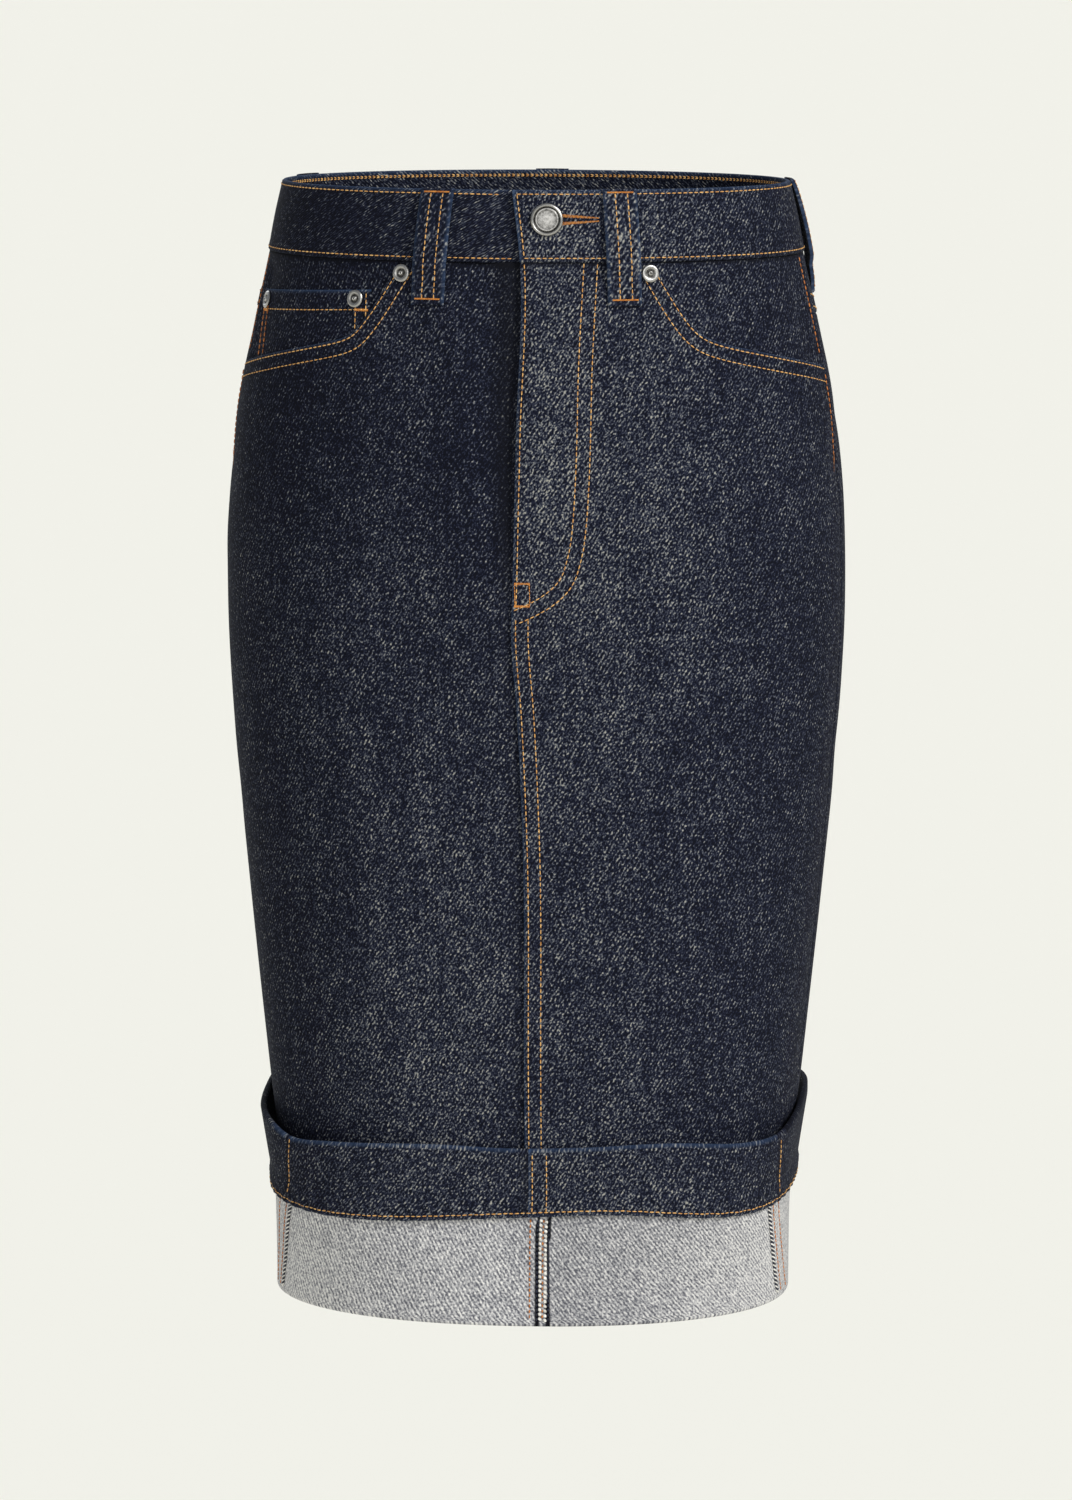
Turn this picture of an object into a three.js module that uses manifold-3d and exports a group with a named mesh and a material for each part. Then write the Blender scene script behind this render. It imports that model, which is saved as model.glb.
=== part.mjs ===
// A knee-length denim pencil skirt with jeans pockets, a fly front and a deep turned-up hem,
// hollow and filled out as if worn. Millimetres, +Z up, the front faces -Y, and the wearer's
// left is +X. The origin is the centre of the waist opening, level with the waistband's top edge.
import * as THREE from 'three';
import { mergeVertices } from 'three/addons/utils/BufferGeometryUtils.js';
import Module from 'manifold-3d';

const wasm = await Module();
wasm.setup();

// Driving sizes
const CLOTH = 1.2;             // one layer of heavy denim
const GAP = 0.3;               // air between pieces that touch on the real skirt
const LENGTH = 610;            // waistband's top edge to the turned-up hem's fold
const WAISTBAND_HEIGHT = 38;
const WAISTBAND_OUT = 1.0;     // how far the waistband stands proud of the panels
const WAISTBAND_THICK = 2.6;
const UNDERLAP = 34;           // the buttoned end's reach under the buttonhole end
const UNDERLAP_RAMP = 29;      // length over which it sinks under
const UNDERLAP_DROP = 3.7;
const FRONT_LAP = 12;          // right front's reach under the fly and the lapped front seam
const LAP_RAMP = 8;
const FLY_BOTTOM = -215;
const FLY_HOLLOW = { depth: 2, width: 30, drift: 20 };   // the soft trough beside the fly
const CUFF_TOP = -512;         // fold at the top of the turn-up, at the centre front
const CUFF_RISE = 6;           // the same fold is this much higher at the back
const BAND_AIR = 0.8;          // air between the turn-up and the band folded over it
const LOOP = { width: 18, length: 61, thick: 1.6, bow: 2.6 };
const RIVET_RADIUS = 4.75;
const BUTTON_RADIUS = 8.7;
const POST_RADIUS = 2;

const DENIM = 0x2b2f3b;
const REVERSE = 0xa4a3a5;
const METAL = 0x8e8d8c;

// Horizontal sections of the skirt's outer face. front and back are depths from the axis, which
// aside moves towards the wearer's left. fore and aft are the exponents of the front and back
// halves, which turn an ellipse (2) towards a rounded rectangle.
const BODY = [
  { z: 0, half: 136.6, front: 94, back: 93, fore: 2.05, aft: 2.05, aside: 0 },
  { z: -40, half: 145.1, front: 99, back: 99, fore: 2.05, aft: 2.05, aside: 0 },
  { z: -80, half: 154.0, front: 104, back: 108, fore: 2.08, aft: 2.08, aside: 0 },
  { z: -120, half: 162.2, front: 108, back: 118, fore: 2.1, aft: 2.1, aside: 0 },
  { z: -170, half: 167.2, front: 111, back: 128, fore: 2.12, aft: 2.12, aside: 0 },
  { z: -225, half: 168.6, front: 112, back: 131, fore: 2.15, aft: 2.15, aside: 0 },
  { z: -300, half: 164.9, front: 112, back: 127, fore: 2.2, aft: 2.2, aside: 0 },
  { z: -380, half: 157.4, front: 111, back: 120, fore: 2.28, aft: 2.28, aside: 0 },
  { z: -450, half: 150.1, front: 110, back: 115, fore: 2.38, aft: 2.38, aside: 0 },
  { z: -500, half: 144.6, front: 109, back: 112, fore: 2.42, aft: 2.42, aside: 0 },
  { z: -540, half: 139.8, front: 108, back: 110, fore: 2.35, aft: 2.4, aside: -0.5 },
  { z: -575, half: 138.4, front: 107.3, back: 109.3, fore: 2.2, aft: 2.3, aside: -1.5 },
  { z: -LENGTH, half: 138.9, front: 107.2, back: 109, fore: 2.15, aft: 2.2, aside: -1.8 },
];

// The same for the outer face of the turned-up layer, which flares away from the skirt.
const TURN_UP = [
  { z: -505, half: 147.3, front: 113, back: 121.5, fore: 3.1, aft: 3.2, aside: -0.5 },
  { z: -525, half: 144.2, front: 112, back: 118.5, fore: 3.05, aft: 3.1, aside: -0.5 },
  { z: -540, half: 142.2, front: 111.2, back: 115.8, fore: 2.9, aft: 2.95, aside: -0.6 },
  { z: -560, half: 141.2, front: 110.2, back: 113.2, fore: 2.7, aft: 2.8, aside: -1.4 },
  { z: -585, half: 141.3, front: 109.4, back: 111.6, fore: 2.35, aft: 2.4, aside: -1.7 },
  { z: -LENGTH, half: 141.5, front: 109.2, back: 111, fore: 2.15, aft: 2.2, aside: -1.9 },
];

// The turn-up's finished edge is not level: the height it hangs at, by angle from the front.
const HEM_EDGE = [
  { at: 180, z: -549 },
  { at: 120, z: -551 },
  { at: 84, z: -549 },
  { at: 58, z: -552 },
  { at: 28, z: -547 },
  { at: 0, z: -549 },
  { at: -48, z: -554 },
  { at: -84, z: -549 },
  { at: -130, z: -552 },
  { at: -180, z: -549 },
];

// Where the seams run. front is the overlapping edge's distance from the centre front along
// the cloth, side the side seams' angle from the front, and twist turns all of them together.
const SEAMS = [
  { z: 0, front: -3.7, side: 85, twist: 0 },
  { z: -36, front: 0.8, side: 85, twist: 0 },
  { z: -130, front: -0.3, side: 85, twist: 0 },
  { z: -205, front: -1.7, side: 84.7, twist: 0 },
  { z: -237, front: -2.4, side: 84.7, twist: 0 },
  { z: -275, front: 0.4, side: 84.5, twist: 0 },
  { z: -338, front: 3.3, side: 84, twist: 0.4 },
  { z: -500, front: 4.2, side: 82, twist: 2.2 },
  { z: -LENGTH, front: 6, side: 79, twist: 4.3 },
];
const CUFF_SEAMS = [
  { z: -505, front: 7.5, side: 60, twist: 4.3 },
  { z: -550, front: 7.5, side: 66, twist: 4.3 },
  { z: -LENGTH, front: 7, side: 79, twist: 4.3 },
];

// Curved pocket mouths: a slant from the waistband, rounded into a shallow run to the side seam.
const MOUTHS = {
  right: { start: 63.5, slope: 1.5, round: 8, run: -81.5, fall: 0.18 },
  left: { start: 71, slope: 1.7, round: 14, run: -81.5, fall: 0.18 },
};
const MOUTH_LAP = 12;          // how far the facing runs on under the front
const FACING_SINK = { right: 3.2, left: 1.7 };
const COIN = { from: 83, to: 176, top: -53.6, tilt: 0.047, sink: 1.75, thick: 1.0, lap: 10 };
const YOKE = { side: -68, back: -102 };
const BACK_POCKET = { centre: 112, width: 128, taper: 14, top: -128, height: 122, point: 20 };

const rad = THREE.MathUtils.degToRad;
const lerp = THREE.MathUtils.lerp;
const smooth = (t) => THREE.MathUtils.smoothstep(t, 0, 1);

// A smooth curve through one column of a table whose rows run down from the highest place.
function along(rows, column, place, by = 'z') {
  const last = rows.length - 1;
  const at = THREE.MathUtils.clamp(place, rows[last][by], rows[0][by]);
  const gap = (i) => rows[i + 1][by] - rows[i][by];
  const rise = (i) => (rows[i + 1][column] - rows[i][column]) / gap(i);
  const slope = (i) => {
    if (i === 0) return rise(0);
    if (i === last) return rise(last - 1);
    return (rise(i - 1) * gap(i) + rise(i) * gap(i - 1)) / (gap(i - 1) + gap(i));
  };
  let i = 0;
  while (i < last - 1 && at < rows[i + 1][by]) i += 1;
  const t = (at - rows[i][by]) / gap(i);
  const t2 = t * t;
  const t3 = t2 * t;
  return (2 * t3 - 3 * t2 + 1) * rows[i][column] + (t3 - 2 * t2 + t) * gap(i) * slope(i)
    + (3 * t2 - 2 * t3) * rows[i + 1][column] + (t3 - t2) * gap(i) * slope(i + 1);
}

// A form is a family of sections. The angle is 0 at the front and grows towards the wearer's left.
const COLUMNS = ['half', 'front', 'back', 'fore', 'aft', 'aside'];
const sizesAt = new Map();
function sectionOf(form, z) {
  const key = form[0].z + ':' + z;
  if (!sizesAt.has(key)) {
    sizesAt.set(key, Object.fromEntries(COLUMNS.map((name) => [name, along(form, name, z)])));
  }
  return sizesAt.get(key);
}

function onForm(form, angle, z) {
  const { half, front, back, fore, aft, aside } = sectionOf(form, z);
  const inFront = Math.cos(angle) > 0;
  const square = inFront ? fore : aft;
  const across = Math.abs(Math.sin(angle)) / half;
  const deep = Math.abs(Math.cos(angle)) / (inFront ? front : back);
  const radius = (across ** square + deep ** square) ** (-1 / square);
  return new THREE.Vector3(radius * Math.sin(angle) + aside, -radius * Math.cos(angle), z);
}

// A point moved out from the form along its outward normal.
function offForm(form, angle, z, out) {
  const step = 1e-3;
  const rise = 0.5;
  const around = onForm(form, angle + step, z).sub(onForm(form, angle - step, z));
  const up = onForm(form, angle, z + rise).sub(onForm(form, angle, z - rise));
  return onForm(form, angle, z).addScaledVector(around.cross(up).normalize(), out);
}

// Distances along the cloth at one height, as angles: a running table for each height.
const ARC_STEPS = 360;
const arcs = new Map();
function arcTable(form, z) {
  const key = form[0].z + ':' + z;
  if (!arcs.has(key)) {
    const table = [0];
    let before = onForm(form, 0, z);
    for (let i = 1; i <= ARC_STEPS; i += 1) {
      const point = onForm(form, (2 * Math.PI * i) / ARC_STEPS, z);
      table.push(table[i - 1] + point.distanceTo(before));
      before = point;
    }
    arcs.set(key, table);
  }
  return arcs.get(key);
}

const girthAt = (form, z) => arcTable(form, z)[ARC_STEPS];

function angleAt(form, z, distance) {
  const table = arcTable(form, z);
  const girth = table[ARC_STEPS];
  const turns = Math.floor(distance / girth);
  const rest = distance - turns * girth;
  let i = 0;
  while (i < ARC_STEPS - 1 && table[i + 1] < rest) i += 1;
  const share = (rest - table[i]) / (table[i + 1] - table[i]);
  return ((i + share) / ARC_STEPS + turns) * 2 * Math.PI;
}

function distanceAt(form, z, angle) {
  const table = arcTable(form, z);
  const turns = Math.floor(angle / (2 * Math.PI));
  const steps = (angle / (2 * Math.PI) - turns) * ARC_STEPS;
  const i = Math.min(Math.floor(steps), ARC_STEPS - 1);
  return lerp(table[i], table[i + 1], steps - i) + turns * table[ARC_STEPS];
}

// A seam's distance from the centre front at one height. side is 0 for the front seam, 1 and -1
// for the left and right side seams, and 2 and -2 for the back seam.
function seamAt(form, seams, side, z) {
  const twist = rad(along(seams, 'twist', z));
  if (side === 0) return along(seams, 'front', z);
  const angle = Math.abs(side) === 2 ? Math.PI : rad(along(seams, 'side', z));
  return distanceAt(form, z, Math.sign(side) * angle + twist);
}

// A closed sheet of cloth: point(u, v, face) gives its inner face at 0 and its outer face at 1,
// with u running towards the wearer's left and v upwards.
function sheet(across, up, point) {
  const positions = [];
  const index = [];
  const columns = across.length - 1;
  const rows = up.length - 1;
  const size = (columns + 1) * (rows + 1);
  for (const face of [0, 1]) {
    for (const v of up) {
      for (const u of across) positions.push(...point(u, v, face).toArray());
    }
  }
  const at = (face, i, j) => face * size + j * (columns + 1) + i;
  const quad = (a, b, c, d) => index.push(a, b, c, a, c, d);
  for (let j = 0; j < rows; j += 1) {
    for (let i = 0; i < columns; i += 1) {
      quad(at(1, i, j), at(1, i + 1, j), at(1, i + 1, j + 1), at(1, i, j + 1));
      quad(at(0, i, j), at(0, i, j + 1), at(0, i + 1, j + 1), at(0, i + 1, j));
    }
  }
  for (let i = 0; i < columns; i += 1) {
    quad(at(0, i, 0), at(0, i + 1, 0), at(1, i + 1, 0), at(1, i, 0));
    quad(at(1, i, rows), at(1, i + 1, rows), at(0, i + 1, rows), at(0, i, rows));
  }
  for (let j = 0; j < rows; j += 1) {
    quad(at(0, 0, j), at(1, 0, j), at(1, 0, j + 1), at(0, 0, j + 1));
    quad(at(0, columns, j), at(0, columns, j + 1), at(1, columns, j + 1), at(1, columns, j));
  }
  const geometry = new THREE.BufferGeometry();
  geometry.setAttribute('position', new THREE.Float32BufferAttribute(positions, 3));
  geometry.setIndex(index);
  geometry.computeVertexNormals();
  return geometry;
}

const evenly = (count) => Array.from({ length: count + 1 }, (_, i) => i / count);
// Steps that crowd towards 0.
const crowded = (count, power) => evenly(count).map((t) => t ** power);

const skirt = new THREE.Group();
function add(name, geometry, color, metalness = 0, roughness = 0.9) {
  const material = new THREE.MeshStandardMaterial({ color, metalness, roughness });
  const mesh = new THREE.Mesh(geometry, material);
  mesh.name = name;
  skirt.add(mesh);
  return mesh;
}

// Pocket mouths, and the layers round them
function mouthEdge(side, distance) {
  const { start, slope, round, run, fall } = MOUTHS[side];
  const slant = -WAISTBAND_HEIGHT - slope * (distance - start);
  const shallow = run - fall * (distance - 100);
  return (slant + shallow + Math.hypot(slant - shallow, round)) / 2;
}
const SEAM_Z = -WAISTBAND_HEIGHT - GAP;
const PANEL_FOOT = -LENGTH + 2.2;   // where the panels give way to the fold of the turn-up

// How far the right front sinks: under the overlapping edge, and into the hollow beside the fly.
function frontSink(distance, z) {
  const edge = seamAt(BODY, SEAMS, 0, z);
  const lap = (CLOTH + GAP) * smooth((distance - edge + LAP_RAMP + 1) / LAP_RAMP);
  const { depth, width, drift } = FLY_HOLLOW;
  const fade = smooth((z - FLY_BOTTOM) / 80);
  const centre = edge - 4 - drift * smooth((z + 120) / 120);
  const reach = THREE.MathUtils.clamp(Math.abs(distance - centre) / width, 0, 1);
  return lap + depth * fade * 0.5 * (1 + Math.cos(Math.PI * reach));
}

function frontPanel(side) {
  const sign = side === 'left' ? 1 : -1;
  const steps = crowded(26, 1.25);
  const across = sign > 0 ? steps : steps.map((t) => 1 - t).reverse();
  const up = evenly(17);
  add(`front_${side}`, sheet(across, up, (u, v, face) => {
    // The column is set by its share of the width at hip height, so that it runs down the cloth.
    const place = (z) => {
      const inner = seamAt(BODY, SEAMS, 0, z) + (sign > 0 ? 0 : FRONT_LAP);
      const outer = seamAt(BODY, SEAMS, sign, z) - sign * GAP / 2;
      return sign > 0 ? lerp(inner, outer, u) : lerp(outer, inner, u);
    };
    let top = SEAM_Z;
    for (let k = 0; k < 12; k += 1) {
      const distance = Math.abs(place(top));
      top = Math.min(SEAM_Z, lerp(top, mouthEdge(side, distance), 0.6));
    }
    const z = lerp(PANEL_FOOT, top, v);
    const distance = place(z);
    const out = (face ? 0 : -CLOTH) - (sign > 0 ? 0 : frontSink(distance, z));
    return offForm(BODY, angleAt(BODY, z, distance), z, out);
  }), DENIM);
}

function pocketFacing(side) {
  const sign = side === 'left' ? 1 : -1;
  const across = evenly(14);
  const up = evenly(4);
  const deepest = FACING_SINK[side];
  add(`pocket_facing_${side}`, sheet(across, up, (u, v, face) => {
    const t = sign > 0 ? u : 1 - u;
    const start = MOUTHS[side].start - 8;
    const place = (z) => sign * lerp(start, Math.abs(seamAt(BODY, SEAMS, sign, z)) - GAP / 2, t);
    const foot = Math.min(mouthEdge(side, Math.abs(place(-80))), SEAM_Z) - MOUTH_LAP;
    const z = lerp(foot, SEAM_Z, v);
    const distance = place(z);
    // Under the front panel it lies below the panel's inner face from the start.
    const under = smooth((start + 11 - Math.abs(distance)) / 4);
    const sink = lerp(lerp(0.6, deepest, smooth((SEAM_Z - z) / 14)), deepest, under);
    return offForm(BODY, angleAt(BODY, z, distance), z, (face ? 0 : -CLOTH) - sink);
  }), DENIM);
}

function coinPocket() {
  add('coin_pocket', sheet(evenly(12), evenly(4), (u, v, face) => {
    const distance = lerp(COIN.to, COIN.from, u);
    const top = COIN.top - COIN.tilt * (distance - COIN.from);
    const foot = mouthEdge('right', distance) - COIN.lap;
    const z = lerp(foot, top, v);
    const out = (face ? 0 : -COIN.thick) - COIN.sink;
    return offForm(BODY, angleAt(BODY, z, -distance), z, out);
  }), DENIM);
}

// The back: a pointed yoke over two panels, with plain patch pockets
function yokeEdge(share) {
  return lerp(YOKE.back, YOKE.side, share);
}

function backPiece(side, name, columns, rows, zOf) {
  const sign = side === 'left' ? 1 : -1;
  add(`${name}_${side}`, sheet(evenly(columns), evenly(rows), (u, v, face) => {
    const fromBack = sign > 0 ? 1 - u : u;
    const z = zOf(fromBack, v);
    const sideSeam = seamAt(BODY, SEAMS, sign, z) + sign * GAP / 2;
    const backSeam = seamAt(BODY, SEAMS, 2 * sign, z) - sign * GAP / 2;
    const distance = lerp(backSeam, sideSeam, fromBack);
    return offForm(BODY, angleAt(BODY, z, distance), z, face ? 0 : -CLOTH);
  }), DENIM);
}

function backPocket(side) {
  const sign = side === 'left' ? 1 : -1;
  const { centre, width, taper, top, height, point } = BACK_POCKET;
  add(`back_pocket_${side}`, sheet(evenly(10), evenly(6), (u, v, face) => {
    const middle = Math.abs(u - 0.5) * 2;
    const foot = top - height - point * (1 - middle);
    const z = lerp(foot, top, v);
    const wide = lerp(width - taper, width, v);
    const fromBack = centre + (u - 0.5) * wide;
    const distance = seamAt(BODY, SEAMS, 2 * sign, z) - sign * (sign > 0 ? 2 * centre - fromBack : fromBack);
    return offForm(BODY, angleAt(BODY, z, distance), z, GAP + (face ? CLOTH : 0));
  }), DENIM);
}

// The waistband is one strip: its buttonhole end lies over its sunk end at the front.
function waistbandSolid() {
  const stations = [
    ...evenly(5).map((t) => t * 45),
    ...evenly(44).slice(1).map((t) => lerp(45, 735, t)),
    ...evenly(16).slice(1).map((t) => lerp(735, 1000, t)),
  ];
  const share = (distance) => distance / 1000;
  return toSolid(sheet(stations.map(share), evenly(2), (u, v, face) => {
    const z = lerp(-WAISTBAND_HEIGHT, 0, v);
    const girth = girthAt(BODY, z);
    const start = along(SEAMS, 'front', z);
    const distance = lerp(start, girth + UNDERLAP, u);
    const under = smooth((distance - girth + UNDERLAP) / UNDERLAP_RAMP);
    const out = WAISTBAND_OUT - (face ? 0 : WAISTBAND_THICK) - UNDERLAP_DROP * under;
    return offForm(BODY, angleAt(BODY, z, distance), z, out);
  }));
}

function toSolid(geometry) {
  const bare = geometry.clone();
  bare.deleteAttribute('normal');
  bare.deleteAttribute('uv');
  const merged = mergeVertices(bare, 1e-4);
  return new wasm.Manifold(new wasm.Mesh({
    numProp: 3,
    vertProperties: new Float32Array(merged.attributes.position.array),
    triVerts: new Uint32Array(merged.index.array),
  }));
}

function fromSolid(solid) {
  const { vertProperties, triVerts } = solid.getMesh();
  const geometry = new THREE.BufferGeometry();
  geometry.setAttribute('position', new THREE.Float32BufferAttribute(vertProperties, 3));
  geometry.setIndex(Array.from(triVerts));
  geometry.computeVertexNormals();
  return geometry;
}

// A round piece set on the cloth, its axis along the cloth's normal.
function seat(geometry, distance, z) {
  const angle = angleAt(BODY, z, distance);
  const foot = offForm(BODY, angle, z, 0);
  const normal = offForm(BODY, angle, z, 1).sub(foot);
  const turn = new THREE.Quaternion().setFromUnitVectors(new THREE.Vector3(0, 1, 0), normal.normalize());
  return geometry.applyQuaternion(turn).translate(foot.x, foot.y, foot.z);
}
const turned = (profile, sides) => new THREE.LatheGeometry(profile.map(([r, h]) => new THREE.Vector2(r, h)), sides);

const BUTTON = { distance: 15, z: -15.7 };
const BUTTONHOLE = { length: 27, wide: 2.6, narrow: 0.8 };

function waistband() {
  const reach = UNDERLAP_DROP - GAP - 0.6;
  const hole = new THREE.CylinderGeometry(POST_RADIUS + 0.4, POST_RADIUS + 0.4, 2 * reach, 12);
  const slit = sheet(evenly(4), [0, 1], (u, v, face) => {
    const distance = BUTTON.distance + u * BUTTONHOLE.length;
    const z = BUTTON.z + (v - 0.5) * lerp(BUTTONHOLE.wide, BUTTONHOLE.narrow, u);
    return offForm(BODY, angleAt(BODY, z, distance), z, face ? 3 : -reach + 0.6);
  });
  const solid = waistbandSolid()
    .subtract(toSolid(seat(hole, BUTTON.distance, BUTTON.z)))
    .subtract(toSolid(slit));
  add('waistband', fromSolid(solid), DENIM);
}

function button() {
  const post = WAISTBAND_OUT - UNDERLAP_DROP + GAP;
  const under = WAISTBAND_OUT + GAP;
  const profile = [
    [0, post], [POST_RADIUS, post], [POST_RADIUS, under], [BUTTON_RADIUS - 1.1, under],
    [BUTTON_RADIUS, under + 0.7], [BUTTON_RADIUS, under + 1.5], [BUTTON_RADIUS - 0.6, under + 2.2],
    [BUTTON_RADIUS - 1.4, under + 2.2], [BUTTON_RADIUS - 2, under + 1.7], [0, under + 2],
  ];
  add('button', seat(turned(profile, 24), BUTTON.distance, BUTTON.z), METAL, 1, 0.35);
}

const RIVETS = [
  { name: 'rivet_pocket_right', distance: -63.6, z: -44.6, base: 0 },
  { name: 'rivet_pocket_left', distance: 70.2, z: -44.1, base: 0 },
  { name: 'rivet_coin_inner', distance: -92.1, z: -58.8, base: -COIN.sink },
  { name: 'rivet_coin_outer', distance: -168.9, z: -63.4, base: -COIN.sink },
];

function rivet({ name, distance, z, base }) {
  const foot = base + GAP;
  const profile = [
    [0, foot], [RIVET_RADIUS - 0.5, foot], [RIVET_RADIUS, foot + 0.5], [RIVET_RADIUS - 0.5, foot + 1.2],
    [2.6, foot + 1.4], [1.9, foot + 0.9], [1.3, foot + 1.3], [0.9, foot + 1.9], [0, foot + 2.1],
  ];
  add(name, seat(turned(profile, 16), distance, z), METAL, 1, 0.4);
}

// Belt loops: a folded strip tacked at the waistband's top edge and below it, bowed out between.
const LOOPS = [
  { name: 'belt_loop_front_right', top: -43.2, foot: -48.7 },
  { name: 'belt_loop_front_left', top: 52.7, foot: 56.8 },
  { name: 'belt_loop_side_right', angle: -105 },
  { name: 'belt_loop_side_left', angle: 97 },
  { name: 'belt_loop_back', angle: 180 },
];

function beltLoop({ name, top, foot, angle }) {
  const centreAt = (z, v) => (angle === undefined ? lerp(foot, top, v) : distanceAt(BODY, z, rad(angle)));
  add(name, sheet(evenly(2), evenly(10), (u, v, face) => {
    const z = lerp(-LOOP.length, 0.4, v);
    const distance = centreAt(z, v) + (u - 0.5) * LOOP.width;
    const onBand = smooth((z + WAISTBAND_HEIGHT + 9) / 6);
    const bow = LOOP.bow * Math.sin(Math.PI * v) ** 0.7;
    const out = GAP + WAISTBAND_OUT * onBand + bow + (face ? LOOP.thick : 0);
    return offForm(BODY, angleAt(BODY, z, distance), z, out);
  }), DENIM);
}

// The turned-up hem. Each panel carries on round the bottom fold and up outside the skirt,
// wrong side out, then folds back down so that its finished edge hangs over the grey.
const CUFF_PANELS = [
  { name: 'front_left', from: 0, to: 1 },
  { name: 'back_left', from: 1, to: 2 },
  { name: 'back_right', from: -2, to: -1 },
  { name: 'front_right', from: -1, to: 0 },
];
const FOLD_FOOT = -LENGTH + 1.9;
const FOLD_STEPS = 4;
const WALL_STEPS = 5;

function cuffAngle(panel, u, z) {
  const start = seamAt(TURN_UP, CUFF_SEAMS, panel.from, z) + GAP / 2;
  const end = seamAt(TURN_UP, CUFF_SEAMS, panel.to, z) - GAP / 2;
  return angleAt(TURN_UP, z, lerp(start, end, u));
}
// The same angle in degrees, from -180 to 180.
function hemAngle(panel, u) {
  const angle = THREE.MathUtils.radToDeg(cuffAngle(panel, u, HEM_EDGE[0].z));
  return angle > 180 ? angle - 360 : angle;
}
const crestAt = (angle) => CUFF_TOP + CUFF_RISE * 0.5 * (1 - Math.cos(angle)) - CLOTH - BAND_AIR / 2;

// A half turn of cloth between two points on its middle line, bulging along pole.
function halfTurn(from, to, pole, share, face) {
  const centre = from.clone().lerp(to, 0.5);
  const radius = from.distanceTo(to) / 2;
  const flat = to.clone().sub(from).normalize();
  const sweep = Math.PI * share;
  const reach = radius + (face ? CLOTH / 2 : -CLOTH / 2);
  return centre.addScaledVector(flat, -Math.cos(sweep) * reach).addScaledVector(pole, Math.sin(sweep) * reach);
}
const DOWN = new THREE.Vector3(0, 0, -1);
const UP = new THREE.Vector3(0, 0, 1);

function turnUp(panel) {
  const steps = FOLD_STEPS + WALL_STEPS;
  add(`turn_up_${panel.name}`, sheet(evenly(14), evenly(steps), (u, v, face) => {
    const step = Math.round(v * steps);
    if (step <= FOLD_STEPS) {
      const angle = cuffAngle(panel, u, FOLD_FOOT);
      const skirtSide = offForm(BODY, angle, FOLD_FOOT, -CLOTH / 2);
      const outside = offForm(TURN_UP, angle, FOLD_FOOT, -CLOTH / 2);
      return halfTurn(skirtSide, outside, DOWN, step / FOLD_STEPS, face);
    }
    const crest = crestAt(cuffAngle(panel, u, CUFF_TOP)) - GAP;
    const z = lerp(FOLD_FOOT, crest, (step - FOLD_STEPS) / WALL_STEPS);
    return offForm(TURN_UP, cuffAngle(panel, u, z), z, face ? 0 : -CLOTH);
  }), REVERSE);
}

function band(panel) {
  const steps = FOLD_STEPS + WALL_STEPS;
  add(`hem_band_${panel.name}`, sheet(evenly(14), evenly(steps), (u, v, face) => {
    const step = Math.round(v * steps);
    const crest = crestAt(cuffAngle(panel, u, CUFF_TOP));
    if (step >= WALL_STEPS) {
      const angle = cuffAngle(panel, u, crest);
      const outside = offForm(TURN_UP, angle, crest, BAND_AIR + CLOTH / 2);
      const inside = offForm(TURN_UP, angle, crest, -CLOTH / 2);
      return halfTurn(outside, inside, UP, (step - WALL_STEPS) / FOLD_STEPS, face);
    }
    const edge = along(HEM_EDGE, 'z', hemAngle(panel, u), 'at');
    const z = lerp(edge, crest, step / WALL_STEPS);
    return offForm(TURN_UP, cuffAngle(panel, u, z), z, BAND_AIR + (face ? CLOTH : 0));
  }), DENIM);
}

for (const side of ['right', 'left']) {
  frontPanel(side);
  pocketFacing(side);
  backPiece(side, 'yoke', 10, 3, (t, v) => lerp(yokeEdge(t), SEAM_Z, v));
  backPiece(side, 'back', 14, 15, (t, v) => lerp(PANEL_FOOT, yokeEdge(t) - GAP, v));
  backPocket(side);
}
coinPocket();
waistband();
button();
RIVETS.forEach(rivet);
LOOPS.forEach(beltLoop);
CUFF_PANELS.forEach(turnUp);
CUFF_PANELS.forEach(band);

export default skirt;
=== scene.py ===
# The looks of a denim pencil skirt: every solid gets a finer shell of cloth on the same form,
# with its creases, sewn edges, twill and stitching. Forms are worked out in millimetres.
import math

import bpy
import numpy as np
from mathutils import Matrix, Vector


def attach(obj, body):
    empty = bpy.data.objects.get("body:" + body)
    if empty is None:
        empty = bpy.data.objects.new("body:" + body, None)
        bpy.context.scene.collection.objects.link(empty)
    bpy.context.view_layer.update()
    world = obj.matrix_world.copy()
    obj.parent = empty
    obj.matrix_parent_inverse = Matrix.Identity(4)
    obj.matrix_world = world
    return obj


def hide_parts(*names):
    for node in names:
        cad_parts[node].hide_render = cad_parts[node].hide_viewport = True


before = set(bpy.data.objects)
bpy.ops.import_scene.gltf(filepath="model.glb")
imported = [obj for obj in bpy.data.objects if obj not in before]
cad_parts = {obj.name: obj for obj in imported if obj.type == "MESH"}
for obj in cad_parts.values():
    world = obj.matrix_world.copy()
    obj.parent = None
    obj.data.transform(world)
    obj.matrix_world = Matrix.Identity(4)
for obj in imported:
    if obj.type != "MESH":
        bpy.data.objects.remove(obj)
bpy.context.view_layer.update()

MM = 0.001
BODY_NAME = "root"

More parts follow.
